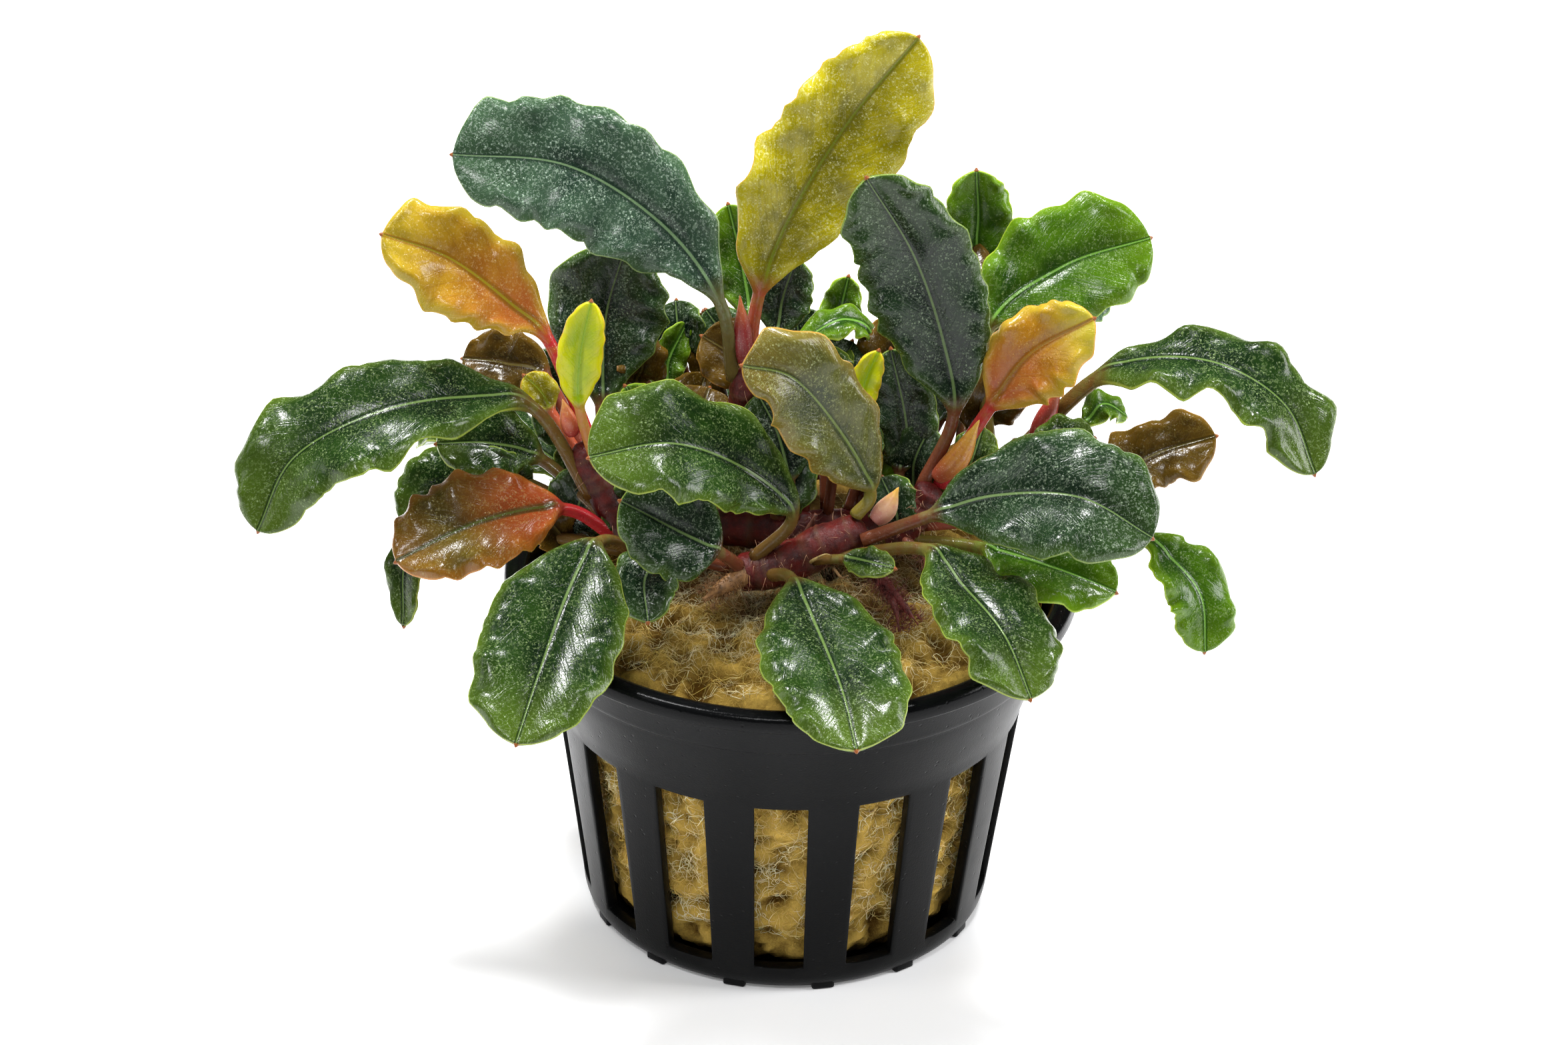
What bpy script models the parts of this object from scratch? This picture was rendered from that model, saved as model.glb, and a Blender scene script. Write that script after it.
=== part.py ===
"""Bucephalandra in a slotted net pot: a creeping red rhizome that forks into
crowns of ruffled leaves, rooted in mineral wool.

Run it with blender --background --python, or from the text editor.
The frame is in metres with +Z up. The origin is the centre of the pot's
underside, and the side that the photo shows faces -Y.
"""

import math

import bmesh
import bpy
from mathutils import Matrix, Vector

MM = 0.001
GAP = 0.35                 # clearance that touching pieces keep, mm
SIDEWAYS = (0.1, 1, 0.2)   # rings round a stem start square to this
WELD = 0.00001             # points closer than this are one, m

# Net pot, mm
SLOT_COUNT = 14
SLOT_TURN = -1.3           # degrees that the front slot stands to the left
SLOT_BOTTOM_Z = 2.6
SLOT_TOP_Z = 20.2
SLOT_BOTTOM_WIDTH = 4.2
SLOT_TOP_WIDTH = 4.6
SLOT_INNER_RADIUS = 13.0   # where a slot's cutter starts and ends, clear of the wall
SLOT_OUTER_RADIUS = 24.0
POT_FACETS = 42
FLOOR = 1.2
FOOT_SIZE = (1.3, 2.0, 1.2)
FOOT_RADIUS = 16.75
POT_CREASE = 25            # edges sharper than this many degrees stay sharp
# Radius and height round the pot's section, from the middle of the underside
POT_OUTLINE = (
    (0, 0), (16.4, 0), (17.3, 0.5), (17.7, 1.4), (20.3, 20.6), (22.6, 27.3), (22.9, 27.6),
    (23.9, 30.4), (24.7, 30.6), (24.7, 31.6), (24.3, 32.0), (23.2, 32.0), (22.7, 31.5),
    (21.5, 27.4), (19.1, 20.6), (16.6, 2.0), (15.6, FLOOR), (0, FLOOR),
)

# Wool plug, mm
WOOL_OUTLINE = (
    (0, 1.6), (15.2, 1.6), (16.1, 2.6), (18.6, 20.4), (20.9, 27.2), (21.7, 30.2),
    (20.0, 31.7), (15.0, 32.5), (9.0, 32.8), (4.0, 32.9), (0, 32.9),
)
WOOL_FACETS = 22
WOOL_LUMP = 0.35           # how far the top swells and dips
WOOL_LUMP_RATES = (0.55, 0.5)  # how quickly it does, in radians for each mm along X and Y
WOOL_TOP_Z = 30.0          # the lumps start above this
SOFT_CREASE = 60           # the same on the wool and the leaves

# Rhizome forks: points along the axis from the old end to the growing tip, mm
RHIZOMES = {
    "core": dict(
        points=((-9.5, 2, 35.3), (-3, 0.5, 35.5), (3.5, 1.2, 35.5), (9.5, 3.2, 35.4)), radius=1.6,
    ),
    "front": dict(
        points=((-5, -6.6, 35.2), (-1.5, -7, 36.2), (2.5, -7, 38.2), (6.2, -6.5, 40)), radius=1.8,
    ),
    "left": dict(
        points=((-12.4, -3.6, 35.4), (-14.6, -4, 38.3), (-16.6, -3.2, 42), (-18.2, -2.2, 45.2)), radius=1.3,
    ),
    "right": dict(
        points=((8.6, -1.8, 35.4), (10.4, -2, 38.6), (11.9, -2, 41.6)), radius=1.4,
    ),
    "back": dict(
        points=((-5.6, 5.6, 35.4), (-5, 4.4, 41), (-4.4, 3, 46.5), (-4.2, 2.2, 50.3)), radius=1.3,
    ),
    "far_right": dict(
        points=((14, 2.6, 35.6), (17, 2.6, 39.8), (20, 2.2, 43.6)), radius=1.3,
    ),
    "rear": dict(
        points=((-2, 9.6, 35.2), (3, 12.4, 36.2), (7.6, 13.4, 39)), radius=1.5,
    ),
}
RHIZOME_SIDES = 8
RHIZOME_STATIONS = 7
RHIZOME_END = 0.75         # how thick an end is, as a share of the middle
SCAR_SWELL = 0.08          # how far the ringed leaf scars stand out, as a share of the radius

# Pointed sheaths that wrap a new leaf: where each starts, bends and ends, and the radius at its base, mm
SHEATHS = {
    "pink": dict(points=((6.9, -6.4, 40.6), (7.9, -6.1, 41.6), (8.9, -5.9, 43.6)), radius=1.0),
    "red": dict(points=((-4.3, 2.0, 51.0), (-4.5, 1.9, 54.0), (-4.8, 2.0, 57.4)), radius=0.9),
    "orange": dict(points=((12.2, -2.0, 42.4), (14.0, -2.2, 44.6), (15.6, -2.6, 48.4)), radius=1.1),
    "left": dict(points=((-18.7, -2.2, 46.0), (-19.1, -2.2, 47.6), (-19.6, -2.2, 49.4)), radius=0.8),
    "far_right": dict(points=((20.5, 2.2, 44.3), (21.6, 2.0, 46.8), (22.6, 1.8, 49.6)), radius=0.9),
}
SHEATH_SIDES = 6
SHEATH_OUTLINE = ((0, 0.8), (0.25, 1), (0.55, 0.85), (0.85, 0.4))  # share of the length, share of the radius

LEAF_THICKNESS = 0.7       # at the midrib, mm
THIN_END = 0.35            # share of it that is left where the blade is narrow
MARGIN_LAG = 70            # degrees of ruffle by which one margin runs ahead of the midrib
TIP_BLUNTNESS = 0.45       # the lower, the blunter the tip
BASE_TAPER = 6             # the lower, the longer the blade draws in to the petiole
PETIOLE_STATIONS = 2
WIDE_LEAF = 7              # a blade this wide takes more stations
WIDE_STATIONS = 8
NARROW_STATIONS = 6
LAST_STATION = 0.97        # the point of the tip closes the blade from here


def leaf(
    stem, at, midrib, width, face,
    belly=0.5, cup=0.12, ruffle=0.5, waves=3, turn=0, colour="green", petiole=0.55,
):
    """One leaf. It leaves its rhizome at a share of the axis, and its midrib runs on to the tip."""
    return dict(
        stem=stem, at=at, midrib=midrib, width=width, face=face, belly=belly,
        cup=cup, ruffle=ruffle, waves=waves, turn=turn, colour=colour, petiole=petiole,
    )


# Leaves, mm. face is the way the upper side looks, belly is how far along the blade it is widest,
# and turn shifts the ruffle along the margin, in degrees
LEAVES = {
    "tall_olive": leaf(
        "back", 0.97, ((-3.2, 4, 56.5), (-0.8, 5.5, 63.1), (4, 7.5, 71.2), (9.7, 9, 78.4)),
        width=10, face=(2, -9, 4), belly=0.5, colour="olive", ruffle=0.7, waves=4,
    ),
    "big_teal": leaf(
        "back", 0.92, ((-6.5, 1, 57.3), (-11.4, 3, 63.4), (-19.4, 4.5, 68), (-29, 4, 69.1)),
        width=10.6, face=(-1, -8, 6), belly=0.6, colour="teal", ruffle=0.8, waves=4,
    ),
    "amber": leaf(
        "left", 0.98, ((-20.8, 0, 53.7), (-24, 1.2, 56.5), (-29.2, 2, 60.3), (-34.8, 1, 63)),
        width=8, face=(0, -7, 6), belly=0.62, colour="amber",
    ),
    "lime": leaf(
        "left", 0.8, ((-18.1, -3, 49), (-18.1, -2.6, 53.7), (-17.2, -2, 58.6)),
        width=3.7, face=(0, -9, 3), colour="lime", ruffle=0.2, petiole=0.45,
    ),
    "long_left": leaf(
        "left", 0.6,
        ((-22, -2, 48.3), (-28.2, -3, 49.6), (-35.4, -4.5, 48.7), (-42, -6.5, 45.4), (-44.9, -9, 39.9)),
        width=9.6, face=(0, -4, 9), belly=0.55, ruffle=0.7, waves=4,
    ),
    "orange_left": leaf(
        "left", 0.3, ((-19.4, -6, 40.9), (-26.2, -9, 41.1), (-33.1, -12, 38.9)),
        width=9, face=(0, -5, 9), colour="orange", waves=4,
    ),
    "big_oval": leaf(
        "left", 0.15, ((-16.3, -9, 39.4), (-18.5, -14, 37.7), (-20.7, -21, 33.8), (-22.4, -27, 30.5)),
        width=11.6, face=(0, -3, 9), ruffle=0.3,
    ),
    "centre_left": leaf(
        "front", 0.2, ((0, -8, 41.8), (-3.8, -9.5, 46.8), (-10, -11.5, 50.4), (-16.9, -14, 50.4)),
        width=9.4, face=(-1, -6, 8), belly=0.6, ruffle=0.6,
    ),
    "dark_under": leaf(
        "front", 0.08, ((-6.3, -9.6, 39.2), (-9.7, -10.2, 41.4), (-14.4, -10.8, 44.5)),
        width=8.2, face=(0, -7, 7), colour="dark",
    ),
    "front_oval": leaf(
        "front", 0.3, ((0.1, -11, 37.3), (2.3, -17, 35.8), (4.4, -24, 34.2), (5.6, -30, 32.4)),
        width=11, face=(0, -2, 9), belly=0.55, ruffle=0.3,
    ),
    "front_right": leaf(
        "front", 0.7, ((11, -10, 40), (14.4, -14.5, 38.8), (17.7, -19.5, 37.2), (19.9, -24, 34)),
        width=9.1, face=(2, -3, 9), belly=0.55, ruffle=0.5,
    ),
    "big_dark_right": leaf(
        "front", 0.95, ((11.4, -8, 42), (17, -9.5, 44.9), (23.9, -12, 46.3), (29.9, -14, 43.8)),
        width=11, face=(1, -6, 8), belly=0.6, colour="dark", ruffle=0.5,
    ),
    "tiny_front": leaf(
        "front", 0.6, ((4.4, -10, 38.9), (6.5, -11.5, 39.4), (8.6, -12.5, 39.5)),
        width=2.9, face=(0, -5, 8), ruffle=0.2, petiole=0.4,
    ),
    "bronze": leaf(
        "front", 0.98, ((6.5, -6.5, 43.6), (3.9, -7.5, 49.5), (-0.2, -9, 55.5), (-4.4, -10, 57.2)),
        width=7.6, face=(3, -8, 5), belly=0.46, colour="bronze",
    ),
    "upright_dark": leaf(
        "right", 0.85, ((13.5, 0, 47.4), (12.4, 1, 54.1), (9.7, 1.5, 61.9), (5.6, 0, 69.7)),
        width=9.4, face=(0, -9, 3), colour="dark", ruffle=0.6,
    ),
    "orange_young": leaf(
        "right", 0.98, ((16.5, -0.5, 48.4), (19.7, -0.5, 53.6), (24.9, -1.5, 57.7)),
        width=6.6, face=(-2, -8, 5), colour="orange", ruffle=0.4,
    ),
    "bright_right": leaf(
        "far_right", 0.6, ((16.4, 7, 51.8), (22.5, 10, 56.4), (30.1, 12, 58.4)),
        width=9.9, face=(0, -7, 6), belly=0.58, colour="bright",
    ),
    "arching_right": leaf(
        "far_right", 0.9,
        ((25.3, 2, 50), (30.2, 0.5, 52.8), (36, -1.5, 53.3), (41.2, -4, 50.9), (43.7, -7, 46.3)),
        width=7.2, face=(0, -3, 9), belly=0.58, ruffle=0.8, waves=4,
    ),
    "brown_right": leaf(
        "far_right", 0.4, ((26.2, 3, 39.5), (31.3, 4, 41.8), (36.1, 4, 43.6)),
        width=5.6, face=(0, -7, 7), colour="brown",
    ),
    "low_right": leaf(
        "far_right", 0.15, ((29, -4, 38.1), (32.2, -5.5, 36.7), (34.7, -7, 34), (35.2, -9, 29.9)),
        width=6, face=(3, -5, 8), belly=0.58, colour="bright",
    ),
    "shiny_under": leaf(
        "right", 0.25, ((16.1, -5, 37.3), (22.6, -9, 37.5), (27.3, -11, 36.7)),
        width=7.6, face=(0, -4, 9), colour="bright",
    ),
    "pale_back": leaf(
        "rear", 0.9, ((14.3, 14, 49.7), (15.4, 15.5, 57.1), (15.2, 16, 62.5)),
        width=5.8, face=(1, -9, -3), belly=0.6, colour="bright", ruffle=0.8,
    ),
    "dark_back_left": leaf(
        "left", 0.5, ((-16.3, 4, 45.2), (-16.3, 8, 51.6), (-14.7, 9, 58)),
        width=9.7, face=(0, -8, 5), belly=0.62, colour="dark",
    ),
    "brown_back_left": leaf(
        "left", 0.7, ((-21.1, 4, 47.7), (-24.7, 5, 48.7), (-28.4, 6, 48.6)),
        width=6, face=(0, -7, 7), colour="brown",
    ),
    "bright_behind": leaf(
        "back", 0.7, ((-4, 8, 51.7), (-4.7, 10.5, 55.7), (-6, 12, 60.8)),
        width=5.2, face=(0, -8, 6), colour="bright",
    ),
    "dark_behind": leaf(
        "back", 0.4, ((-1.8, 6.6, 50.7), (-1.2, 7.6, 54.1), (-0.1, 8, 57.9)),
        width=4.8, face=(0, -8, 6), colour="dark",
    ),
    "curled_lime": leaf(
        "rear", 0.5, ((6.3, 8.6, 49.2), (4.1, 7.2, 52.3), (0.2, 4, 51.8)),
        width=3.2, face=(0, -4, 9), colour="lime", petiole=0.4,
    ),
    "dark_vertical": leaf(
        "right", 0.5, ((9.1, 2, 40.4), (9.6, 3, 44.5), (8.1, 4, 51.4)),
        width=5.4, face=(0, -9, 3), colour="dark", petiole=0.45,
    ),
    "green_left_under": leaf(
        "left", 0.4, ((-21.4, 0.2, 42.1), (-25.6, 0, 43.6), (-30.3, -1, 44.1)),
        width=7, face=(0, -6, 8), ruffle=0.3,
    ),
    "rounded_left": leaf(
        "left", 0.22, ((-23, 0, 40), (-28.6, -0.5, 40.1), (-33, -3, 37.1)),
        width=7.6, face=(0, -6, 8), ruffle=0.3,
    ),
    "curled_low_left": leaf(
        "left", 0.08, ((-24.9, -4, 37.6), (-31.9, -7, 37.5), (-32.7, -10, 31.5)),
        width=3.8, face=(-4, -4, 8), ruffle=0.4,
    ),
    "dark_low_left": leaf(
        "front", 0, ((-9.9, -8.5, 37.9), (-12.2, -12, 37.8), (-11.9, -16, 35.9)),
        width=5.4, face=(0, -4, 9), colour="dark",
    ),
    "dark_centre": leaf(
        "core", 0.5, ((-0.3, -1, 41.2), (-1.4, 0.5, 45), (-3.1, 1.5, 48.2)),
        width=6.6, face=(0, -8, 5), colour="dark",
    ),
    "small_behind_left": leaf(
        "back", 0.35, ((-10, 8, 43.9), (-11, 9.5, 46.3), (-9.4, 11, 49.9)),
        width=3, face=(0, -8, 5), colour="bright", petiole=0.4,
    ),
    "small_behind": leaf(
        "back", 0.3, ((-6.7, 9, 44.1), (-7.4, 10.5, 47.2), (-8, 12, 50.4)),
        width=4, face=(0, -8, 5), colour="brown", petiole=0.4,
    ),
    "small_back_right": leaf(
        "far_right", 0.7, ((24.7, 8, 42), (26.6, 9.5, 43.3), (28.7, 10.5, 41.7)),
        width=3, face=(0, -4, 9), colour="bright", petiole=0.4,
    ),
    "flat_right": leaf(
        "far_right", 0.5, ((20.1, -0.5, 44.6), (22.5, -0.8, 46), (25.4, -1, 46)),
        width=3.8, face=(0, -4, 9), ruffle=0.4, petiole=0.4,
    ),
    "yellow_left": leaf(
        "left", 0.85, ((-20.6, 1.6, 46), (-21.6, 2.2, 47.6), (-23, 2.6, 48.9)),
        width=3, face=(0, -7, 7), colour="lime", ruffle=0.2, petiole=0.4,
    ),
    "small_behind_centre": leaf(
        "rear", 0.3, ((3.2, 10.5, 48), (3.8, 10.5, 51.7), (4.4, 11, 54.6)),
        width=3.4, face=(0, -8, 5), colour="bright", petiole=0.4,
    ),
    "yellow_centre": leaf(
        "core", 0.85, ((5.5, 1, 45.5), (5.8, 1.6, 49), (7, 2, 52.3)),
        width=2.6, face=(0, -8, 5), colour="lime", ruffle=0.2, petiole=0.4,
    ),
    "back_left": leaf(
        "rear", 0.15, ((-4.6, 14, 37.6), (-8, 21, 37), (-11, 28, 32)),
        width=10.5, face=(0, 3, 9),
    ),
    "back_middle": leaf(
        "rear", 0.5, ((3, 17, 38), (4.5, 24, 38), (6.5, 30.5, 33)),
        width=11, face=(0, 3, 9), colour="dark",
    ),
    "back_right": leaf(
        "rear", 0.97, ((10, 17.5, 40), (14, 23, 42), (18.5, 28.5, 39)),
        width=10.5, face=(-2, 3, 9),
    ),
    "back_upright": leaf(
        "far_right", 0.3, ((17, 9.5, 43.5), (21, 14, 49), (26, 19, 50.5)),
        width=9.5, face=(-3, -5, 8), colour="teal",
    ),
    "back_far_left": leaf(
        "back", 0.15, ((-9.5, 9.5, 41), (-14.5, 14.5, 43.5), (-18, 20, 42)),
        width=9.5, face=(-2, 4, 9), colour="bronze",
    ),
    "back_low_left": leaf(
        "left", 0.02, ((-17.5, 4, 37), (-25.5, 9.5, 39.5), (-32.5, 13.5, 36)),
        width=8.6, face=(-3, 3, 9),
    ),
}

# Principled colours, roughness
FINISHES = {
    "pot": ((0.012, 0.012, 0.013), 0.38),
    "wool": ((0.52, 0.38, 0.12), 0.95),
    "rhizome": ((0.30, 0.06, 0.05), 0.5),
    "sheath": ((0.55, 0.16, 0.10), 0.45),
    "green": ((0.045, 0.14, 0.035), 0.35),
    "teal": ((0.03, 0.085, 0.06), 0.35),
    "dark": ((0.02, 0.05, 0.02), 0.35),
    "bright": ((0.10, 0.26, 0.03), 0.35),
    "olive": ((0.30, 0.30, 0.02), 0.35),
    "lime": ((0.42, 0.48, 0.02), 0.35),
    "amber": ((0.50, 0.28, 0.03), 0.35),
    "orange": ((0.45, 0.13, 0.03), 0.35),
    "bronze": ((0.17, 0.14, 0.04), 0.35),
    "brown": ((0.20, 0.09, 0.03), 0.35),
}


def clear_scene():
    for obj in list(bpy.data.objects):
        bpy.data.objects.remove(obj, do_unlink=True)


def finish(name, kind):
    """A material for one piece, in the colour and roughness of its kind."""
    colour, roughness = FINISHES[kind]
    material = bpy.data.materials.new(name)
    material.use_nodes = True
    shader = material.node_tree.nodes["Principled BSDF"]
    shader.inputs["Base Color"].default_value = (*colour, 1)
    shader.inputs["Roughness"].default_value = roughness
    return material


def add_object(name, bm, kind, crease=40):
    """Closes off a bmesh in mm as a named object in metres, shaded smooth but for its sharp edges."""
    bmesh.ops.scale(bm, vec=(MM, MM, MM), verts=bm.verts)
    bmesh.ops.recalc_face_normals(bm, faces=bm.faces)
    mesh = bpy.data.meshes.new(name)
    bm.to_mesh(mesh)
    bm.free()
    mesh.shade_smooth()
    mesh.set_sharp_from_angle(angle=math.radians(crease))
    mesh.materials.append(finish(name, kind))
    obj = bpy.data.objects.new(name, mesh)
    bpy.context.scene.collection.objects.link(obj)
    return obj


def turned(outline, facets):
    """A solid of revolution about Z from a half section that starts and ends on the axis."""
    bm = bmesh.new()
    points = [bm.verts.new((radius, 0, height)) for radius, height in outline]
    edges = [bm.edges.new(pair) for pair in zip(points, points[1:])]
    bmesh.ops.spin(bm, geom=points + edges, cent=(0, 0, 0), axis=(0, 0, 1), angle=2 * math.pi, steps=facets)
    bmesh.ops.remove_doubles(bm, verts=bm.verts, dist=WELD / MM)
    return bm


def slot_angle(index):
    """Bearing of a slot about Z, in radians, where the front (-Y) is zero."""
    return math.radians(SLOT_TURN + index * 360 / SLOT_COUNT)


def around(angle):
    """Turns a shape modelled towards +X to face a bearing counted from the front."""
    return Matrix.Rotation(angle - math.pi / 2, 4, "Z")


def add_slot(bm, index):
    """A cutter for one slot: a wedge that is a little wider at the top."""
    corners = []
    for radius in (SLOT_INNER_RADIUS, SLOT_OUTER_RADIUS):
        for side, height, width in (
            (-1, SLOT_BOTTOM_Z, SLOT_BOTTOM_WIDTH),
            (1, SLOT_BOTTOM_Z, SLOT_BOTTOM_WIDTH),
            (1, SLOT_TOP_Z, SLOT_TOP_WIDTH),
            (-1, SLOT_TOP_Z, SLOT_TOP_WIDTH),
        ):
            corner = Vector((radius, side * width / 2, height))
            corners.append(bm.verts.new(around(slot_angle(index)) @ corner))
    inner, outer = corners[:4], corners[4:]
    bm.faces.new(inner[::-1])
    bm.faces.new(outer)
    for i in range(4):
        j = (i + 1) % 4
        bm.faces.new((inner[i], inner[j], outer[j], outer[i]))


def add_foot(bm, index):
    """A nub under one of the bars between the slots."""
    length, width, height = FOOT_SIZE
    place = around(slot_angle(index + 0.5)) @ Matrix.Translation((FOOT_RADIUS, 0, height / 2))
    bmesh.ops.create_cube(bm, size=1, matrix=place @ Matrix.Diagonal((length, width, height, 1)))


def add_tool(name, bm, pot, operation):
    """A helper that the pot cuts out or takes in."""
    tool = add_object(name, bm, "pot")
    tool.hide_render = True
    tool.display_type = "WIRE"
    boolean = pot.modifiers.new(name, "BOOLEAN")
    boolean.operation = operation
    boolean.object = tool


def make_pot():
    pot = add_object("net_pot", turned(POT_OUTLINE, POT_FACETS), "pot", POT_CREASE)
    slots, feet = bmesh.new(), bmesh.new()
    for index in range(SLOT_COUNT):
        add_slot(slots, index)
        add_foot(feet, index)
    add_tool("slots", slots, pot, "DIFFERENCE")
    add_tool("feet", feet, pot, "UNION")


def make_wool():
    """The plug fills the pot, and its top is lumpy."""
    bm = turned(WOOL_OUTLINE, WOOL_FACETS)
    along_x, along_y = WOOL_LUMP_RATES
    for vert in bm.verts:
        if vert.co.z > WOOL_TOP_Z:
            swell = math.sin(vert.co.x * along_x + 1) * math.cos(vert.co.y * along_y)
            vert.co.z += WOOL_LUMP * (swell - 1)
    add_object("mineral_wool", bm, "wool", SOFT_CREASE)


def along(points, share):
    """A point of the smooth curve through a few points, at a share of its length."""
    points = [Vector(point) for point in points]
    lengths = [(after - point).length for point, after in zip(points, points[1:])]
    place = share * sum(lengths)
    start = 0
    while start < len(lengths) - 1 and place > lengths[start]:
        place -= lengths[start]
        start += 1
    padded = [2 * points[0] - points[1], *points, 2 * points[-1] - points[-2]]
    a, b, c, d = padded[start : start + 4]
    t = place / lengths[start]
    return 0.5 * (2 * b + (c - a) * t + (2 * a - 5 * b + 4 * c - d) * t**2 + (3 * (b - c) + d - a) * t**3)


def heading(points, share):
    """The direction of that curve."""
    step = 0.01
    return (along(points, share + step) - along(points, share - step)).normalized()


def loft(rings, tip=None):
    """Skins a row of equal rings, flat at its ends or drawn to a point at the last.

    The two halves of a ring split their faces the same way, so that a thin blade never crosses itself.
    """
    bm = bmesh.new()
    rows = [[bm.verts.new(point) for point in ring] for ring in rings]
    count = len(rows[0])
    for row, after in zip(rows, rows[1:]):
        for i in range(count):
            j = (i + 1) % count
            if i < count // 2:
                bm.faces.new((row[i], row[j], after[j]))
                bm.faces.new((row[i], after[j], after[i]))
            else:
                bm.faces.new((row[i], row[j], after[i]))
                bm.faces.new((row[j], after[j], after[i]))
    bm.faces.new(rows[0][::-1])
    if tip is None:
        bm.faces.new(rows[-1])
    else:
        point = bm.verts.new(tip)
        for i in range(count):
            bm.faces.new((rows[-1][i], rows[-1][(i + 1) % count], point))
    return bm


def round_ring(centre, direction, radius, sides):
    """Points of a circle across a direction, which is never close to SIDEWAYS."""
    across = direction.cross(Vector(SIDEWAYS)).normalized()
    up = across.cross(direction)
    angles = [2 * math.pi * i / sides for i in range(sides)]
    return [centre + radius * (math.cos(a) * across + math.sin(a) * up) for a in angles]


def make_rhizome(name, points, radius):
    """A fork of the rhizome, ringed by leaf scars and narrower at both ends."""
    rings = []
    for i in range(RHIZOME_STATIONS):
        share = i / (RHIZOME_STATIONS - 1)
        fullness = RHIZOME_END + (1 - RHIZOME_END) * 2 * math.sqrt(share * (1 - share))
        size = radius * (1 + SCAR_SWELL * (-1) ** i) * fullness
        rings.append(round_ring(along(points, share), heading(points, share), size, RHIZOME_SIDES))
    add_object(f"rhizome_{name}", loft(rings), "rhizome")


def make_sheath(name, points, radius):
    """A pointed sheath."""
    rings = []
    for share, size in SHEATH_OUTLINE:
        rings.append(round_ring(along(points, share), heading(points, share), radius * size, SHEATH_SIDES))
    add_object(f"sheath_{name}", loft(rings, tip=points[-1]), "sheath")


def leaf_root(spec):
    """Where the petiole meets its rhizome, at the surface on the side that the leaf leans to."""
    stem = RHIZOMES[spec["stem"]]
    axis_point = along(stem["points"], spec["at"])
    axis = heading(stem["points"], spec["at"])
    reach = (Vector(spec["midrib"][0]) - axis_point).normalized()
    side = (reach - reach.dot(axis) * axis).normalized()
    beside = 1 - reach.dot(side)
    return axis_point + side * (stem["radius"] * (1 + SCAR_SWELL) + GAP + spec["petiole"] * beside)


def blade_width(share, spec):
    """Half the blade's width at a share of its length: narrow at the petiole, blunt at the tip."""
    belly = spec["belly"]
    opening = TIP_BLUNTNESS * belly / (1 - belly)
    widest = belly**opening * (1 - belly) ** TIP_BLUNTNESS
    shape = share**opening * (1 - share) ** TIP_BLUNTNESS / widest * (1 - (1 - share) ** BASE_TAPER)
    return spec["petiole"] * (1 - share) ** 3 + spec["width"] / 2 * shape


def blade_ring(centre, direction, face, half, share, spec):
    """Eight points round the blade: the margins, the midrib and halfway between, above and below."""
    up = (face - face.dot(direction) * direction).normalized()
    across = direction.cross(up)
    thickness = LEAF_THICKNESS / 2 * min(1, THIN_END + half / 2)

    def point(side, lift):
        wave = math.radians(spec["turn"] + 360 * spec["waves"] * share + MARGIN_LAG * side)
        ruffle = spec["ruffle"] * math.sin(math.pi * share) * side * side * math.sin(wave)
        height = spec["cup"] * half * abs(side) + ruffle + lift
        return centre + across * side * half + up * height

    top = [point(side, thickness * (1 - abs(side))) for side in (-1, -0.5, 0, 0.5, 1)]
    under = [point(side, -thickness * (1 - abs(side))) for side in (0.5, 0, -0.5)]
    return top + under


def petiole_ring(centre, direction, face, radius):
    """Eight points round the petiole, in the same order as the blade's."""
    up = (face - face.dot(direction) * direction).normalized()
    across = direction.cross(up)
    angles = [math.radians(180 - 45 * i) for i in range(8)]
    return [centre + radius * (math.cos(a) * across + math.sin(a) * up) for a in angles]


def make_leaf(name, spec):
    """A leaf in one skin, from the cut of the petiole to the tip."""
    points = [leaf_root(spec), *map(Vector, spec["midrib"])]
    lengths = [(after - point).length for point, after in zip(points, points[1:])]
    blade_start = lengths[0] / sum(lengths)
    face = Vector(spec["face"]).normalized()
    rings = []
    for i in range(PETIOLE_STATIONS):
        share = blade_start * i / PETIOLE_STATIONS
        rings.append(petiole_ring(along(points, share), heading(points, share), face, spec["petiole"]))
    stations = WIDE_STATIONS if spec["width"] > WIDE_LEAF else NARROW_STATIONS
    for i in range(stations):
        share = LAST_STATION * i / (stations - 1)
        place = blade_start + (1 - blade_start) * share
        half = blade_width(share, spec)
        rings.append(blade_ring(along(points, place), heading(points, place), face, half, share, spec))
    add_object(f"leaf_{name}", loft(rings, tip=points[-1]), spec["colour"], SOFT_CREASE)


clear_scene()
make_pot()
make_wool()
for fork, shape in RHIZOMES.items():
    make_rhizome(fork, **shape)
for bud, shape in SHEATHS.items():
    make_sheath(bud, **shape)
for name, spec in LEAVES.items():
    make_leaf(name, spec)
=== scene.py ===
# Bucephalandra with ruffled bronze-green leaves in a slotted black net pot of mineral wool.
# Lengths are in millimetres until a mesh is made. The photographed side faces -Y.
import math
import random

import bmesh
import bpy
import numpy as np
from mathutils import Matrix, Vector, noise


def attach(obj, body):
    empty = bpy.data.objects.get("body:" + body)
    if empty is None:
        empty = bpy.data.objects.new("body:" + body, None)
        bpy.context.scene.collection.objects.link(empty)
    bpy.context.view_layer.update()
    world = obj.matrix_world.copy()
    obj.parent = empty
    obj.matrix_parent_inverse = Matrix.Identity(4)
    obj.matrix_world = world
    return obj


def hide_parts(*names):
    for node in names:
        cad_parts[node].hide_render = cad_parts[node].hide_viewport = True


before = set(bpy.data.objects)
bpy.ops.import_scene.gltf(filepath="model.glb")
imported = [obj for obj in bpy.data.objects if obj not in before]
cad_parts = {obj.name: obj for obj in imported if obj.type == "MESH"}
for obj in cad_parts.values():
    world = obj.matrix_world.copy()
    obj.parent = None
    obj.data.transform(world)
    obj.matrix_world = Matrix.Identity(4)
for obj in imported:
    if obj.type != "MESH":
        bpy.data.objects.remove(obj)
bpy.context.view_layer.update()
mm = 0.001

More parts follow.
